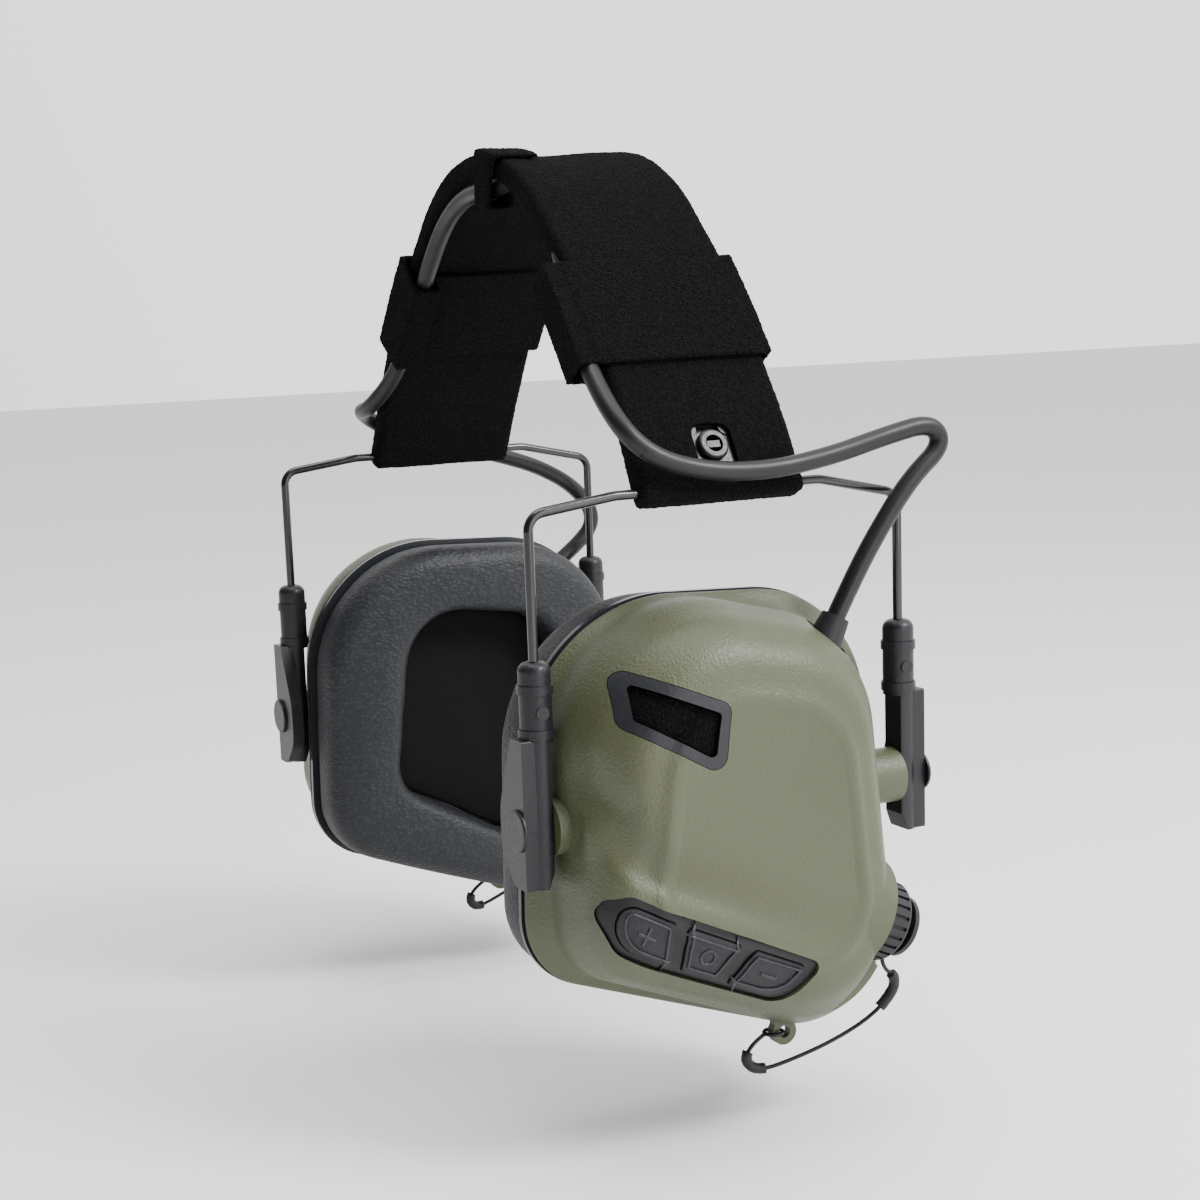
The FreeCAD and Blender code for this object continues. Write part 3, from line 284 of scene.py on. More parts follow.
def rubber_finish(name, colour, roughness, speckle=0.0):
    made = Finish(name, colour, roughness, Specular_IOR_Level=0.35)
    dust = made.grain(1300.0, 3.0)
    made.tint(made.steps(dust, 0.5, 0.72), 0.9, 1.2 + speckle)
    made.gloss(made.grain(90.0, 2.0), roughness - 0.05, roughness + 0.07)
    return made.bump(dust, 0.00006, 0.5).material


def paint(obj, material):
    obj.data.materials.clear()
    obj.data.materials.append(material)
    return obj


# ---------------------------------------------------------------- modelling helpers
def settle(name, bm, material, smooth=True):
    """A finished mesh object at the origin, faces outward."""
    bmesh.ops.recalc_face_normals(bm, faces=bm.faces)
    mesh = bpy.data.meshes.new(name)
    bm.to_mesh(mesh)
    bm.free()
    for face in mesh.polygons:
        face.use_smooth = smooth
    obj = bpy.data.objects.new(name, mesh)
    bpy.context.scene.collection.objects.link(obj)
    return paint(obj, material)


def apply_modifiers(obj):
    """The object's mesh as its modifiers leave it."""
    graph = bpy.context.evaluated_depsgraph_get()
    mesh = bpy.data.meshes.new_from_object(obj.evaluated_get(graph), preserve_all_data_layers=True, depsgraph=graph)
    obj.modifiers.clear()
    obj.data = mesh
    return obj


def route_line(points, resolution=10):
    """Points along the smooth curve that a cord's control points give."""
    curve = bpy.data.curves.new("route", "CURVE")
    curve.dimensions = "3D"
    spline = curve.splines.new("NURBS")
    spline.points.add(len(points) - 1)
    for point, place in zip(spline.points, points):
        point.co = (*[c * MM for c in place], 1)
    spline.order_u = 3
    spline.use_endpoint_u = True
    spline.resolution_u = resolution
    obj = bpy.data.objects.new("route", curve)
    bpy.context.scene.collection.objects.link(obj)
    mesh = bpy.data.meshes.new_from_object(obj)
    line = [v.co.copy() for v in mesh.vertices]
    bpy.data.objects.remove(obj)
    bpy.data.meshes.remove(mesh)
    return line


def turned_frames(line):
    """A matrix at each point of a line, with z along it and no twist."""
    frames = []
    along = (line[1] - line[0]).normalized()
    turn = along.to_track_quat("Z", "Y")
    for k, point in enumerate(line):
        ahead = line[min(k + 1, len(line) - 1)] - line[max(k - 1, 0)]
        ahead.normalize()
        turn = along.rotation_difference(ahead) @ turn
        along = ahead
        frames.append(Matrix.Translation(point) @ turn.to_matrix().to_4x4())
    return frames


def swept(line, radius, sides=16, capped=True):
    """A round bar along a line, as a bmesh."""
    bm = bmesh.new()
    frames = turned_frames(line)
    ring = bmesh.ops.create_circle(bm, radius=radius, segments=sides, matrix=frames[0], cap_ends=False)["verts"]
    edges = list({e for v in ring for e in v.link_edges})
    if capped:
        bmesh.ops.contextual_create(bm, geom=edges)
    for before, after in zip(frames, frames[1:]):
        made = bmesh.ops.extrude_edge_only(bm, edges=edges)["geom"]
        ring = [g for g in made if isinstance(g, bmesh.types.BMVert)]
        edges = [g for g in made if isinstance(g, bmesh.types.BMEdge)]
        bmesh.ops.transform(bm, matrix=after @ before.inverted(), verts=ring)
    if capped:
        bmesh.ops.contextual_create(bm, geom=edges)
    return bm


def copied(node, name):
    """A merged copy of a CAD node's mesh that stands for it."""
    obj = bpy.data.objects.new(name, NODES[node].data.copy())
    bpy.context.scene.collection.objects.link(obj)
    bm = bmesh.new()
    bm.from_mesh(obj.data)
    bmesh.ops.remove_doubles(bm, verts=bm.verts, dist=0.00001)
    bm.to_mesh(obj.data)
    bm.free()
    return obj


def remeshed(obj, voxel, smoothing=3):
    modifier = obj.modifiers.new("even", "REMESH")
    modifier.mode = "VOXEL"
    modifier.voxel_size = voxel
    modifier.use_smooth_shade = True
    if smoothing:
        relax = obj.modifiers.new("relax", "SMOOTH")
        relax.factor = 0.5
        relax.iterations = smoothing
    return apply_modifiers(obj)


def roughened(obj, height, scale):
    """Moves each point along its normal by seeded noise, as pile or grain."""
    normals = [v.normal.copy() for v in obj.data.vertices]
    for vertex, normal in zip(obj.data.vertices, normals):
        vertex.co += normal * height * noise.noise(vertex.co * scale)
    obj.data.update()
    return obj


# ---------------------------------------------------------------- stage
class HEADSET_OT_stage(bpy.types.Operator):
    """Sets the camera, the pale floor and the soft lights"""
    bl_idname = "headset.stage"
    bl_label = "Stage"

    def execute(self, context):
        azimuth, elevation, roll = 1.124083, 0.185964, -0.038340
        forward = Vector((-math.sin(azimuth) * math.cos(elevation),
                          math.cos(azimuth) * math.cos(elevation), -math.sin(elevation)))
        right = Vector((math.cos(azimuth), math.sin(azimuth), 0))
        up = right.cross(forward)
        right, up = (right * math.cos(roll) + up * math.sin(roll), up * math.cos(roll) - right * math.sin(roll))
        place = Vector((0, 0, -0.1323)) - forward * 0.564
        camera = bpy.data.objects.new("camera", bpy.data.cameras.new("camera"))
        camera.matrix_world = Matrix.Translation(place) @ Matrix((right, up, -forward)).transposed().to_4x4()
        camera.data.lens = 65.17
        camera.data.sensor_width = 36.0
        camera.data.shift_x = 0.0247
        camera.data.shift_y = 0.0851
        camera.data.clip_start = 0.01
        context.scene.collection.objects.link(camera)
        context.scene.camera = camera

        bm = bmesh.new()
        bmesh.ops.create_grid(bm, x_segments=1, y_segments=1, size=4.0)
        bmesh.ops.translate(bm, verts=bm.verts, vec=(0, 0, CAD_BOX[0][2] - FLOOR_GAP))
        floor = settle("floor", bm, Finish("pale_floor", colours().backdrop, 0.9).material, False)

        world = bpy.data.worlds.new("studio")
        world.use_nodes = True
        nodes, links = world.node_tree.nodes, world.node_tree.links
        nodes["Background"].inputs[0].default_value = (1, 1, 1, 1)
        lean = nodes.new("ShaderNodeVectorMath")
        lean.operation = "DOT_PRODUCT"
        lean.inputs[1].default_value = (-0.25, 0.90, 0.35)
        links.new(nodes.new("ShaderNodeTexCoord").outputs["Generated"], lean.inputs[0])
        fade = nodes.new("ShaderNodeMapRange")
        links.new(lean.outputs["Value"], fade.inputs["Value"])
        for key, number in (("From Min", -0.35), ("From Max", 0.5),
                            ("To Min", 0.12), ("To Max", 1.9)):
            fade.inputs[key].default_value = number
        links.new(fade.outputs[0], nodes["Background"].inputs[1])
        context.scene.world = world
        for name, spot, size, power in (("key", (0.62, 0.50, 0.62), 0.35, 13.0),
                                        ("top", (0.05, -0.05, 0.9), 0.6, 5.0),
                                        ("side", (0.95, 0.20, 0.05), 0.5, 2.6)):
            light = bpy.data.lights.new(name, "AREA")
            light.energy, light.size = power, size
            lamp = bpy.data.objects.new(name, light)
            lamp.location = spot
            lamp.rotation_euler = (Vector((0.03, 0, -0.11)) - lamp.location).to_track_quat("-Z", "Y").to_euler()
            context.scene.collection.objects.link(lamp)
        return {"FINISHED"}


# ---------------------------------------------------------------- hard pieces
class HEADSET_OT_mouldings(bpy.types.Operator):
    """Gives every moulded and metal piece its finish"""
    bl_idname = "headset.mouldings"
    bl_label = "Moulded and metal pieces"

    def execute(self, context):
        black = colours().plastic
        arm = plastic_finish("arm_moulding", black, 0.40, 1800.0, 0.00012)
        finishes = {
            "base_plate": plastic_finish("plate_moulding", (0.022, 0.024, 0.028), 0.2, 1500.0, 0.00003),
            "front_arm": arm, "rear_arm": arm, "front_pivot_pin": arm, "rear_pivot_pin": arm,
            "yoke_wire": metal_finish("black_wire", (0.006, 0.006, 0.007), 0.2, 0.0, 0.3),
            "wire_clamp": plastic_finish("clamp_moulding", (0.006, 0.006, 0.007), 0.36, 1200.0, 0.00002),
            "speaker": plastic_finish("speaker_moulding", (0.03, 0.03, 0.03)),
            "circuit_board": plastic_finish("board_lacquer", (0.02, 0.09, 0.04), 0.3),
            "mic_frame": plastic_finish("bezel_moulding", (0.014, 0.015, 0.018), 0.46, 1700.0, 0.00012),
            "mic_capsule": metal_finish("capsule_metal", (0.6, 0.6, 0.6), 0.35),
            "battery_tube": plastic_finish("tube_moulding", (0.05, 0.05, 0.05)),
            "battery": metal_finish("cell_wrap", (0.35, 0.34, 0.3), 0.3, 0.4),
            "battery_cap": plastic_finish("cap_moulding", (0.012, 0.012, 0.014), 0.5, 1600.0, 0.00012),
            "cable_gland": rubber_finish("gland_rubber", (0.009, 0.0095, 0.011), 0.5),
            "plate_screws": metal_finish("screw_steel", (0.5, 0.5, 0.5), 0.35),
            "key_panel": rubber_finish("panel_rubber", (0.005, 0.005, 0.006), 0.45, 0.5),
            "key_switches": plastic_finish("switch_moulding", (0.05, 0.05, 0.05)),
        }
        key = rubber_finish("key_rubber", (0.009, 0.0095, 0.0115), 0.5, 0.8)
        finishes.update({"button_plus": key, "button_power": key, "button_minus": key})
        for side in SIDES:
            for kind, material in finishes.items():
                if side + "_" + kind in NODES:
                    paint(NODES[side + "_" + kind], material)
        paint(NODES["spring_strap"], metal_finish("strap_steel", (0.06, 0.06, 0.065), 0.4))
        paint(NODES["strap_rivets"], metal_finish("rivet_steel", (0.05, 0.05, 0.055), 0.45))
        paint(NODES["headband_pad"], rubber_finish("pad_foam", (0.03, 0.03, 0.03), 0.85))
        return {"FINISHED"}


PANEL_ORIGIN = Vector((101.0, -14.8, -172.3))
PANEL_S, PANEL_U = Vector((0, 0.90631, -0.42262)), Vector((0.25882, 0.40822, 0.87543))
PANEL_N = Vector((0.96593, -0.10938, -0.23457))

# the hollow that runs round the front pivot and on under the cheek: place, way out, depth and half width
HOLLOW = (
    ((85.9, -42.2, -126.0), (0.34, -0.94, 0), 0.3, 4.0), ((93.6, -39.7, -132.6), (0.46, -0.88, 0), 1.3, 4.4),
    ((98.9, -36.8, -138.0), (0.62, -0.78, 0), 1.9, 4.6), ((101.0, -35.8, -145.0), (0.76, -0.64, 0), 2.0, 4.8),
    ((102.3, -31.5, -151.0), (0.95, -0.30, 0), 1.9, 5.2), ((103.5, -21.5, -155.5), (1, 0, 0), 1.8, 5.6),
    ((103.5, -6.8, -162.0), (1, 0, 0), 1.3, 5.8), ((103.5, 9.0, -168.5), (1, 0, 0), 0.4, 5.8),
)
MOUND = ((92.0, -41.0, -142.2), (0.40, -0.91, 0), 0.8, 5.5)


def smooth_share(value):
    value = np.clip(value, 0, 1)
    return value * value * (3 - 2 * value)


class HEADSET_OT_shell_relief(bpy.types.Operator):
    """Moulds the hollow and the mound round the front pivot into the shells"""
    bl_idname = "headset.shell_relief"
    bl_label = "Shell relief"

    def execute(self, context):
        olive = shell_finish()
        for side, flip in zip(SIDES, (1, -1)):
            node = side + "_outer_shell"
            shell = copied(node, side + "_shell_cover")
            self.densify(shell, flip)
            flat = np.array([v.co for v in shell.data.vertices])
            places = flat / MM * (flip, 1, 1)
            moved = self.moves(places, side == "left") * (flip, 1, 1) * MM
            shell.data.vertices.foreach_set("co", (flat + moved).ravel())
            shell.data.update()
            shell.data.set_sharp_from_angle(angle=math.radians(32))
            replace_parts(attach(paint(shell, olive), side + "_cup"), node)
        return {"FINISHED"}

    def densify(self, shell, flip):
        """Splits the long edges near the hollow."""
        line = [Vector(place) * MM for place, _, _, _ in HOLLOW]
        bm = bmesh.new()
        bm.from_mesh(shell.data)
        for _ in range(5):
            near = []
            for edge in bm.edges:
                middle = (edge.verts[0].co + edge.verts[1].co) / 2
                middle.x *= flip
                if edge.calc_length() > 0.0014 and min((middle - p).length for p in line) < 0.017:
                    near.append(edge)
            if not near:
                break
            bmesh.ops.subdivide_edges(bm, edges=near, cuts=1)
            bmesh.ops.triangulate(bm, faces=[f for f in bm.faces if len(f.verts) > 3])
        bm.to_mesh(shell.data)
        bm.free()
        for name in ("custom_normal", "sharp_face"):
            if name in shell.data.attributes:
                shell.data.attributes.remove(shell.data.attributes[name])
        for face in shell.data.polygons:
            face.use_smooth = True

    def moves(self, places, has_panel):
        """How far each place is pushed in or out."""
        total = np.zeros_like(places)
        best = np.zeros(len(places))
        for (p0, n0, d0, w0), (p1, n1, d1, w1) in zip(HOLLOW, HOLLOW[1:]):
            p0, p1, n0, n1 = (np.array(v, float) for v in (p0, p1, n0, n1))
            along = p1 - p0
            t = np.clip((places - p0) @ along / (along @ along), 0, 1)[:, None]
            normal = n0 + (n1 - n0) * t
            normal /= np.linalg.norm(normal, axis=1, keepdims=True)
            gap = places - (p0 + along * t)
            depth = (gap * normal).sum(axis=1)
            across = np.linalg.norm(gap - normal * depth[:, None], axis=1)
            width = (w0 + (w1 - w0) * t)[:, 0]
            share = np.exp(-(across / width) ** 2) * (np.abs(depth) < 8)
            push = -(d0 + (d1 - d0) * t) * share[:, None] * normal
            wins = share > best
            best[wins], total[wins] = share[wins], push[wins]
        place, normal, height, width = MOUND
        gap = places - np.array(place)
        normal = np.array(normal) / np.linalg.norm(normal)
        depth = gap @ normal
        across = np.linalg.norm(gap - depth[:, None] * normal, axis=1)
        total += (height * np.exp(-(across / width) ** 2) * (np.abs(depth) < 8))[:, None] * normal
        pivot = np.hypot(places[:, 0] - PIVOT_X, places[:, 2] - PIVOT_Z)
        total *= smooth_share((pivot - 8.0) / 3.5)[:, None]
        if has_panel:
            rel = places - np.array(PANEL_ORIGIN)
            s, u = rel @ np.array(PANEL_S), rel @ np.array(PANEL_U)
            away = np.hypot(np.maximum(np.abs(s + 2.0) - 29.5, 0), np.maximum(np.abs(u) - 7.6, 0))
            total *= smooth_share(away / 4.5)[:, None]
        return total


# ---------------------------------------------------------------- headband
CROWN_MIDDLE = Vector((0, 0, -45.6))
CROWN_OUTER, SIDE_OUTER = 52.0, 218.41
SIDE_MIDDLE = Vector((111.349, 0, -169.266))
CROWN_TURN, END_TURN = math.radians(42.0), math.radians(63.8476)
BAND_HALF_WIDTH, BAND_DEPTH = 21.0, 6.4


def bent(length, y, depth):
    """Place in the row frame of a point this far along the band's outer face from the crown, and this deep."""
    crown = CROWN_OUTER * CROWN_TURN
    run = abs(length)
    if run <= crown:
        turn, x, z, radius = run / CROWN_OUTER, CROWN_MIDDLE.x, CROWN_MIDDLE.z, CROWN_OUTER
    else:
        turn = CROWN_TURN + (run - crown) / SIDE_OUTER
        x, z, radius = -SIDE_MIDDLE.x, SIDE_MIDDLE.z, SIDE_OUTER
    x += (radius - depth) * math.sin(turn)
    z += (radius - depth) * math.cos(turn)
    return Vector((math.copysign(x, length) * MM, y * MM, z * MM))


class HEADSET_OT_headband(bpy.types.Operator):
    """Makes the headband's textile cover, with its windows over the clamps"""
    bl_idname = "headset.headband"
    bl_label = "Headband cover"

    def execute(self, context):
        half = CROWN_OUTER * CROWN_TURN + SIDE_OUTER * (END_TURN - CROWN_TURN) - 0.2
        bm = bmesh.new()
        bmesh.ops.create_cube(bm, size=1.0)
        bmesh.ops.scale(bm, vec=(2 * half, 2 * BAND_HALF_WIDTH - 0.8, BAND_DEPTH - 0.3), verts=bm.verts)
        bmesh.ops.bevel(bm, geom=bm.edges[:], offset=1.9, segments=4, profile=0.5, affect="EDGES", material=-1)
        for axis, step, count in (((1, 0, 0), 1.25, int(half / 1.25)), ((0, 1, 0), 1.3, 14)):
            for k in range(-count, count + 1):
                bmesh.ops.bisect_plane(bm, geom=bm.verts[:] + bm.edges[:] + bm.faces[:],
                                       plane_co=Vector(axis) * k * step, plane_no=axis)
        for vertex in bm.verts:
            run, y, up = vertex.co
            wave = 0.45 * noise.noise(Vector((run * 0.06, 3.1 if y > 0 else 8.7, 0.0)))
            dip = 0.9 * math.exp(-((run - 6.0) / 17.0) ** 2) * math.exp(-((y + 3.0) / 9.0) ** 2)
            crease = 0.3 * noise.noise(Vector((run * 0.07, y * 0.08, 5.0))) if up < 0 else 0.0
            depth = BAND_DEPTH / 2 - up + (dip if up > 0 else 0.0) + crease
            vertex.co = bent(run, y * (1.0 + wave / BAND_HALF_WIDTH), max(depth, 0.12))
        # The cover's pile has painted highlights on its loop tops and painted shade in its pits.
        cover = settle("headband_sleeve", bm, textile_finish("loop_pile", 2100.0, 0.0012, 5.0))
        count = len(cover.data.polygons)
        wall = cover.modifiers.new("wall", "SOLIDIFY")
        wall.thickness, wall.offset = 0.0008, -1.0
        apply_modifiers(cover)
        bm = bmesh.new()
        bm.from_mesh(cover.data)
        bm.faces.ensure_lookup_table()
        outer = list({e for f in bm.faces[:count] for e in f.edges})
        bmesh.ops.subdivide_edges(bm, edges=outer, cuts=1, use_grid_fill=True)
        bm.to_mesh(cover.data)
        bm.free()
        roughened(cover, sizes().pile_height, 1500.0)
        for side in (1, -1):
            self.cut_window(cover, side)
        for face in cover.data.polygons:
            face.use_smooth = True
        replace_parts(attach(cover, "headband"), "headband_cover")
        return {"FINISHED"}

    def cut_window(self, cover, side):
        """Cuts the arched window over one clamp."""
        bm = bmesh.new()
        bmesh.ops.create_cube(bm, size=1.0)
        bmesh.ops.scale(bm, vec=(0.0152, 0.0098, 0.009), verts=bm.verts)
        corners = [e for e in bm.edges if abs(e.verts[0].co.z - e.verts[1].co.z) > 0.005]
        bmesh.ops.bevel(bm, geom=corners, offset=0.0028, segments=5, profile=0.5, affect="EDGES", material=-1)
        up = Vector((-0.50074 * side, 0, 0.8656))
        out = Vector((0.8656 * side, 0, 0.50074))
        place = Vector((0.0805 * side, 0, -0.0715)) + up * 0.0067 + out * 0.0047
        turn = Matrix((up, out.cross(up), out)).transposed().to_4x4()
        bmesh.ops.transform(bm, matrix=Matrix.Translation(place) @ turn, verts=bm.verts)
        cutter = settle("window_cutter", bm, cover.data.materials[0], False)
        cut = cover.modifiers.new("window", "BOOLEAN")
        cut.operation, cut.solver, cut.object = "DIFFERENCE", "EXACT", cutter
        apply_modifiers(cover)
        bpy.data.objects.remove(cutter)


class HEADSET_OT_cable_straps(bpy.types.Operator):
    """Makes the textile straps that hold the lead to the headband"""
    bl_idname = "headset.cable_straps"
    bl_label = "Cable straps"

    def execute(self, context):
        # The straps' pile has painted highlights on its loop tops and painted shade in its pits.
        cloth = textile_finish("strap_pile", 2100.0, 0.0010, 4.5)
        for node in ("crown_cable_loop", "left_cable_loop", "right_cable_loop"):
            strap = copied(node, node + "_cloth")
            self.tighten(strap, node == "crown_cable_loop")
            rounding = 40 if node == "crown_cable_loop" else 16
            strap = roughened(remeshed(strap, 0.00036, rounding), sizes().pile_height, 1500.0)
            paint(strap, cloth)
            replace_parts(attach(strap, "headband"), node)
        return {"FINISHED"}

    def tighten(self, strap, on_crown):
        """Draws the crown strap's plain sides to the band. Side straps are only shifted a little behind the lead."""
        for vertex in strap.data.vertices:
            x, y, z = vertex.co / MM
            middle = CROWN_MIDDLE if on_crown else Vector((math.copysign(-SIDE_MIDDLE.x, x), 0, SIDE_MIDDLE.z))
            radius = CROWN_OUTER if on_crown else SIDE_OUTER
            away = Vector((x, 0, z)) - Vector((middle.x, 0, middle.z))
            depth = radius - away.length
            if depth < 0:
                depth += 0.45
            elif depth > BAND_DEPTH and y > -17.5:
                depth -= 0.45
            if y > BAND_HALF_WIDTH:
                y -= 0.6
            away = Vector((middle.x, 0, middle.z)) + away.normalized() * (radius - depth)
            vertex.co = Vector((away.x, y, away.z)) * MM


# ---------------------------------------------------------------- cushions
class HEADSET_OT_cushions(bpy.types.Operator):
    """Fills the ear cushions and makes their cloth liners"""
    bl_idname = "headset.cushions"
    bl_label = "Ear cushions and liners"

    def execute(self, context):
        leather, liner = leather_finish(), woven_finish()
        for side in SIDES:
            cushion = remeshed(copied(side + "_ear_cushion", side + "_cushion_cover"), 0.0016, 6)
            self.fill(context, cushion)
            paint(cushion, leather)
            finer = cushion.modifiers.new("finer", "SUBSURF")
            finer.levels = finer.render_levels = 1
            apply_modifiers(cushion)
            for face in cushion.data.polygons:
                face.use_smooth = True
            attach(cushion, side + "_cup")
            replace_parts(cushion, side + "_ear_cushion")
            disc = roughened(remeshed(copied(side + "_ear_liner", side + "_liner_cloth"), 0.0012, 8), 0.0006, 60.0)
            paint(disc, liner)
            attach(disc, side + "_cup")
            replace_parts(disc, side + "_ear_liner")
        return {"FINISHED"}

    def fill(self, context, cushion):
        """Blows the cover up a little with cloth, keeping each point near where it was."""
        rest = np.array([v.co for v in cushion.data.vertices])
        cloth = cushion.modifiers.new("fill", "CLOTH")
        cloth.settings.use_pressure = True
        cloth.settings.uniform_pressure_force = 4.0
        cloth.settings.effector_weights.gravity = 0.0
        cloth.point_cache.frame_start, cloth.point_cache.frame_end = 1, CLOTH_FRAMES
        for frame in range(1, CLOTH_FRAMES + 1):
            context.scene.frame_set(frame)
        apply_modifiers(cushion)
        context.scene.frame_set(1)
        moved = np.array([v.co for v in cushion.data.vertices]) - rest
        reach = np.linalg.norm(moved, axis=1, keepdims=True)
        cap = sizes().cushion_swell
        moved *= np.minimum(1.0, cap / np.maximum(reach, 1e-9))
        cushion.data.vertices.foreach_set("co", (rest + moved).ravel())
        cushion.data.update()


# ---------------------------------------------------------------- lead and tethers
LEAD = (
    (86.1, 23.1, -108.0), (86.4, 30.8, -94.2), (86.8, 38.2, -82.8), (86.8, 46.8, -72.2), (86.6, 55.8, -65.4),
    (86.2, 52.8, -60.0), (86.0, 40.6, -62.4), (85.8, 26.0, -66.0), (85.8, 10.0, -68.2), (85.6, -6.0, -67.4),
    (84.8, -18.6, -63.6), (81.4, -25.6, -56.0), (61.9, -23.6, -41.6), (51.6, -20.0, -28.6), (38.1, -17.7, -14.5),
    (28.0, -17.7, -5.6), (21.4, -17.7, -1.7), (15.4, -17.7, -0.8), (8.3, -19.0, -2.9), (0.0, -19.0, -2.7),
    (-8.9, -19.0, -3.6), (-17.4, -19.0, -6.4), (-25.2, -19.0, -10.9), (-33.0, -19.0, -17.7), (-44.7, -19.0, -29.8),
    (-53.6, -19.0, -40.4), (-61.9, -20.6, -49.7), (-71.7, -24.2, -57.6), (-82.4, -23.2, -58.6),
    (-85.6, -15.2, -63.8), (-86.2, -3.0, -67.6), (-86.4, 9.0, -70.8), (-86.8, 22.0, -74.2), (-87.4, 35.0, -78.6),
    (-88.0, 46.6, -85.4), (-88.2, 52.8, -94.2), (-87.8, 48.4, -101.8), (-86.8, 32.4, -111.7),
)
# name, the point where the stretch ends, its two bodies, and where it leaves one for the other
STRETCHES = (
    ("left_lead_root", (86.8, 44.2, -75.5), ("left_cup", "left_arms"), (86.0, 24.0, -105.0), (86.5, 36.0, -86.5)),
    ("left_lead_turn", (86.0, 41.0, -62.4), ("left_arms", "left_yoke"), (86.8, 44.8, -75.0), (86.2, 44.0, -62.0)),
    ("left_lead_run", (83.9, -20.2, -61.6), ("left_yoke", "headband"), (86.0, 40.0, -62.6), (85.5, -9.0, -66.5)),
    ("middle_lead", (-80.0, -23.1, -58.6), ("headband",), None, None),
    ("right_lead_run", (-86.7, 18.2, -73.2), ("headband", "right_yoke"), (-83.0, -20.5, -60.5), (-86.6, 16.0, -72.6)),
    ("right_lead_turn", (-88.0, 49.2, -89.2), ("right_yoke", "right_arms"), (-86.9, 24.0, -75.0), (-88.0, 47.0, -86.5)),
    ("right_lead_root", None, ("right_arms", "right_cup"), (-88.1, 50.5, -92.5), (-87.0, 36.0, -109.0)),
)


class HEADSET_OT_lead(bpy.types.Operator):
    """Lays the lead between the cups, in stretches that meet at the yokes, arms and cups"""
    bl_idname = "headset.lead"
    bl_label = "Lead"

    def execute(self, context):
        sheath = rubber_finish("lead_sheath", (0.006, 0.0065, 0.008), 0.42)
        line = route_line(LEAD, 12)
        start = 0
        for name, end, bodies, leave, reach in STRETCHES:
            stop = len(line) - 1
            if end is not None:
                target = Vector(end) * MM
                stop = min(range(start + 1, len(line)), key=lambda k: (line[k] - target).length)
            part = line[start:stop + 1]
            start = stop
            piece = settle(name, swept(part, sizes().cable_diameter / 2, 20, False), sheath)
            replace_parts(piece, "cup_cable")
            if leave is None:
                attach(piece, bodies[0])
            else:
                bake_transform(piece)
        return {"FINISHED"}


TETHER = (
    (90.0, 35.1, -181.1), (90.0, 34.8, -185.6), (90.0, 39.2, -188.9), (89.2, 38.0, -193.5), (87.8, 32.6, -198.7),
    (86.0, 23.6, -203.1), (84.0, 14.0, -206.3), (82.0, 6.0, -208.3), (81.0, 2.6, -205.7), (81.0, 4.4, -201.9),
    (81.0, 8.4, -199.9),
)
CAP_AXIS = Vector((0, 0.90631, -0.42262))
CAP_NECK = Vector((90.0, 28.8, -171.4)) + CAP_AXIS * 9.85
LINK_MIDDLE = Vector((81.0, 10.65, -199.9))


def ring(middle, axis, radius, thickness):
    """A thin closed ring."""
    bm = bmesh.new()
    turn = axis.to_track_quat("Z", "Y").to_matrix().to_4x4()
    start = Matrix.Translation((radius, 0, 0)) @ Matrix.Rotation(math.radians(90), 4, "X")
    section = bmesh.ops.create_circle(bm, radius=thickness, segments=10, matrix=start)["verts"]
    geometry = section + list({e for v in section for e in v.link_edges})
    bmesh.ops.spin(bm, geom=geometry, cent=(0, 0, 0), axis=(0, 0, 1), angle=math.tau, steps=36, use_merge=True)
    bmesh.ops.transform(bm, matrix=Matrix.Translation(middle) @ turn, verts=bm.verts)
    return bm


def joined(first, *others):
    for other in others:
        mesh = bpy.data.meshes.new("part")
        other.to_mesh(mesh)
        other.free()
        first.from_mesh(mesh)
        bpy.data.meshes.remove(mesh)
    return first


class HEADSET_OT_tethers(bpy.types.Operator):
    """Hangs the battery caps' lanyards with their shrink sleeves"""
    bl_idname = "headset.tethers"
    bl_label = "Cap tethers"

    def execute(self, context):
        coat = rubber_finish("tether_coat", (0.008, 0.008, 0.009), 0.3)
        shrink = rubber_finish("shrink_sleeve", (0.012, 0.012, 0.014), 0.45)
        for side, flip in zip(SIDES, (1, -1)):
            line = [Vector((p.x * flip, p.y, p.z)) for p in route_line(TETHER, 10)]
            radius = sizes().tether_diameter / 2
            neck = Vector((CAP_NECK.x * flip, CAP_NECK.y, CAP_NECK.z)) * MM
            link = Vector((LINK_MIDDLE.x * flip, LINK_MIDDLE.y, LINK_MIDDLE.z)) * MM
            rings = settle(side + "_tether_rings", joined(
                ring(neck, CAP_AXIS, 0.00615, radius), ring(link, Vector((0, 0, 1)), 0.0022, radius)), coat)
            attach(rings, side + "_cup")
            wire = settle(side + "_tether_line", swept(line, radius, 10), coat)
            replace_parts(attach(wire, side + "_cup"), side + "_tether_wire")
            total = len(line)
            spans = ((int(total * 0.13), int(total * 0.34)), (int(total * 0.70), int(total * 0.90)))
            bms = []
            for first, last in spans:
                bm = swept(line[first:last], sizes().sleeve_diameter / 2, 14)
                for vertex in bm.verts:
                    nearest = min(line[first:last], key=lambda p: (p - vertex.co).length)
                    share = 1.0 + 0.12 * noise.noise(vertex.co * 900.0)
                    vertex.co = nearest + (vertex.co - nearest) * share
                bms.append(bm)
            sleeves = settle(side + "_tether_shrink", joined(*bms), shrink)
            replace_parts(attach(sleeves, side + "_cup"), side + "_tether_sleeves")
        return {"FINISHED"}


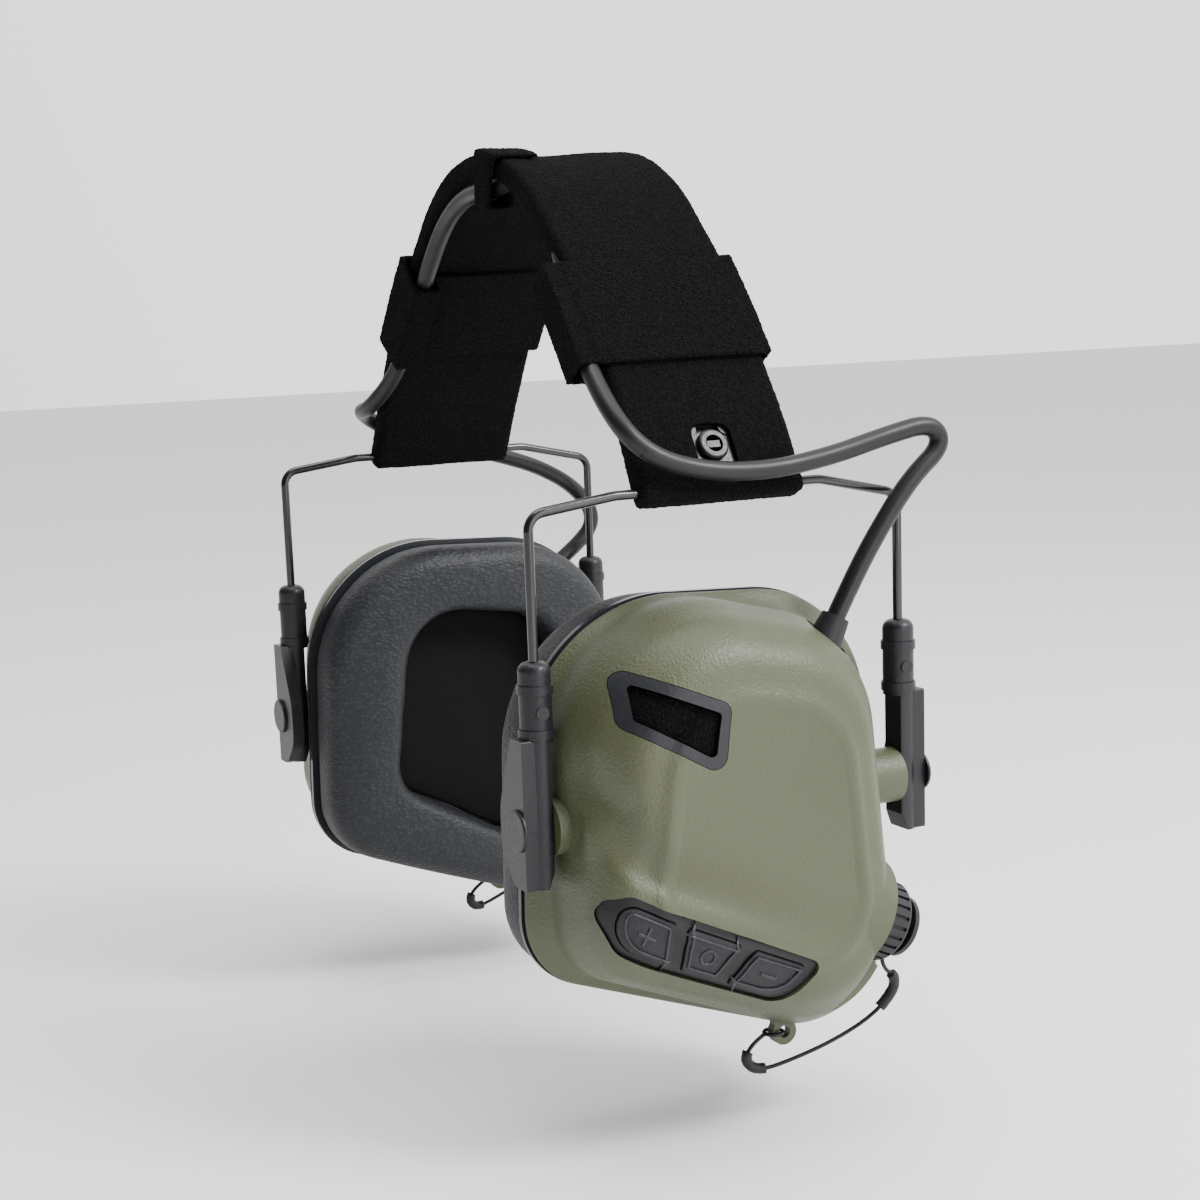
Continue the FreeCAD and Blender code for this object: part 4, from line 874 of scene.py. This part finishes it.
# ---------------------------------------------------------------- key marks and foam
KEYS = {
    "plus": (((-27.2, 4.8), (-15.0, 4.8), (-11.4, -4.8), (-25.6, -4.8)), (3.0, 0.8, 1.0, 6.5)),
    "power": (((-11.4, 4.8), (3.4, 4.8), (1.4, -4.8), (-7.8, -4.8)), (0.8, 1.2, 1.2, 0.8)),
    "minus": (((7.0, 4.8), (21.6, 4.8), (19.0, -4.8), (5.0, -4.8)), (1.2, 1.6, 6.0, 0.8)),
}


class HEADSET_OT_key_marks(bpy.types.Operator):
    """Raises a rim and the plus, ring or minus sign on each button"""
    bl_idname = "headset.key_marks"
    bl_label = "Key marks"

    def execute(self, context):
        rubber = rubber_finish("mark_rubber", (0.024, 0.025, 0.029), 0.36, 0.5)
        for name, (corners, rounds) in KEYS.items():
            node = NODES["left_button_" + name]
            middle = Vector((*[sum(c[k] for c in corners) / 4 for k in (0, 1)], 0))
            bm = bmesh.new()
            if name == "power":
                bm.free()
                bm = ring(Vector((0, 0, 0)), Vector((0, 0, 1)), 1.7, 0.32)
            else:
                self.bar(bm, 4.4, 0.7)
                if name == "plus":
                    self.bar(bm, 0.7, 4.4)
            bmesh.ops.translate(bm, verts=bm.verts, vec=middle)
            self.drape(bm, node)
            rim = self.rim(corners, rounds)
            self.drape(rim, node)
            for kind, mesh in (("sign", bm), ("rim", rim)):
                mark = settle("left_key_%s_%s" % (kind, name), mesh, rubber)
                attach(mark, node["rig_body"])
        return {"FINISHED"}

    def bar(self, bm, width, height):
        made = bmesh.ops.create_cube(bm, size=1.0)["verts"]
        bmesh.ops.scale(bm, vec=(width, height, 0.7), verts=made)
        edges = list({e for v in made for e in v.link_edges})
        bmesh.ops.bevel(bm, geom=edges, offset=0.16, segments=2, profile=0.5, affect="EDGES", material=-1)

    def rim(self, corners, rounds):
        """A narrow raised band inside the button's outline."""
        bm = bmesh.new()
        verts = [bm.verts.new((*corner, 0)) for corner in corners]
        bm.faces.new(verts)
        for vert, size in zip(verts, rounds):
            bmesh.ops.bevel(bm, geom=[vert], offset=max(size, 1.2), segments=6, profile=0.5, affect="VERTICES",
                            material=-1)
        bmesh.ops.subdivide_edges(bm, edges=[e for e in bm.edges if e.calc_length() > 1.2], cuts=5)
        middle = bm.faces[:]
        bmesh.ops.inset_region(bm, faces=middle, thickness=0.95, use_boundary=True, use_even_offset=True)
        band = bmesh.ops.inset_region(bm, faces=middle, thickness=0.42, use_even_offset=True)["faces"]
        bmesh.ops.delete(bm, geom=[f for f in bm.faces if f not in band], context="FACES")
        raised = bmesh.ops.extrude_face_region(bm, geom=bm.faces[:])["geom"]
        tops = [g for g in raised if isinstance(g, bmesh.types.BMVert)]
        bmesh.ops.translate(bm, verts=tops, vec=(0, 0, sizes().mark_height / MM))
        bmesh.ops.translate(bm, verts=[v for v in bm.verts if v not in tops], vec=(0, 0, -0.1))
        return bm

    def drape(self, bm, node):
        """Lays a flat shape, drawn in the panel's frame, onto the button's own surface."""
        for vert in bm.verts:
            centre = (PANEL_ORIGIN + PANEL_S * vert.co.x + PANEL_U * vert.co.y) * MM
            hit, place, _, _ = node.ray_cast(centre + PANEL_N * 0.02, -PANEL_N)
            vert.co = (place if hit else centre) + PANEL_N * vert.co.z * MM


class HEADSET_OT_wind_foam(bpy.types.Operator):
    """Makes the microphones' open-cell wind foam"""
    bl_idname = "headset.wind_foam"
    bl_label = "Wind foam"

    def execute(self, context):
        # The foam has painted highlights on its high points and painted shade in its pits.
        foam = textile_finish("wind_foam", 2200.0, 0.0005, 3.5)
        for side in SIDES:
            piece = roughened(remeshed(copied(side + "_mic_foam", side + "_wind_foam"), 0.0003, 2), 0.00018, 1900.0)
            paint(piece, foam)
            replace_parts(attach(piece, side + "_cup"), side + "_mic_foam")
        return {"FINISHED"}


# ---------------------------------------------------------------- panel and registration
class HEADSET_PT_panel(bpy.types.Panel):
    bl_label = "Hearing protector"
    bl_idname = "HEADSET_PT_panel"
    bl_space_type = "VIEW_3D"
    bl_region_type = "UI"
    bl_category = "Headset"

    def draw(self, context):
        for operator in OPERATORS:
            self.layout.operator(operator.bl_idname)
        for group in (sizes(), colours()):
            for name in group.__annotations__:
                self.layout.prop(group, name)


OPERATORS = (HEADSET_OT_stage, HEADSET_OT_mouldings, HEADSET_OT_shell_relief, HEADSET_OT_headband,
             HEADSET_OT_cable_straps, HEADSET_OT_cushions, HEADSET_OT_lead, HEADSET_OT_tethers,
             HEADSET_OT_key_marks, HEADSET_OT_wind_foam)
CLASSES = (HeadsetSizes, HeadsetColours) + OPERATORS + (HEADSET_PT_panel,)


def register():
    for cls in CLASSES:
        bpy.utils.register_class(cls)
    bpy.types.Scene.headset_sizes = bpy.props.PointerProperty(type=HeadsetSizes)
    bpy.types.Scene.headset_colours = bpy.props.PointerProperty(type=HeadsetColours)


def unregister():
    del bpy.types.Scene.headset_sizes, bpy.types.Scene.headset_colours
    for cls in reversed(CLASSES):
        bpy.utils.unregister_class(cls)


def main():
    register()
    for name in ("stage", "mouldings", "shell_relief", "headband", "cable_straps", "cushions", "lead",
                 "tethers", "key_marks", "wind_foam"):
        getattr(bpy.ops.headset, name)()


if __name__ == "__main__":
    main()
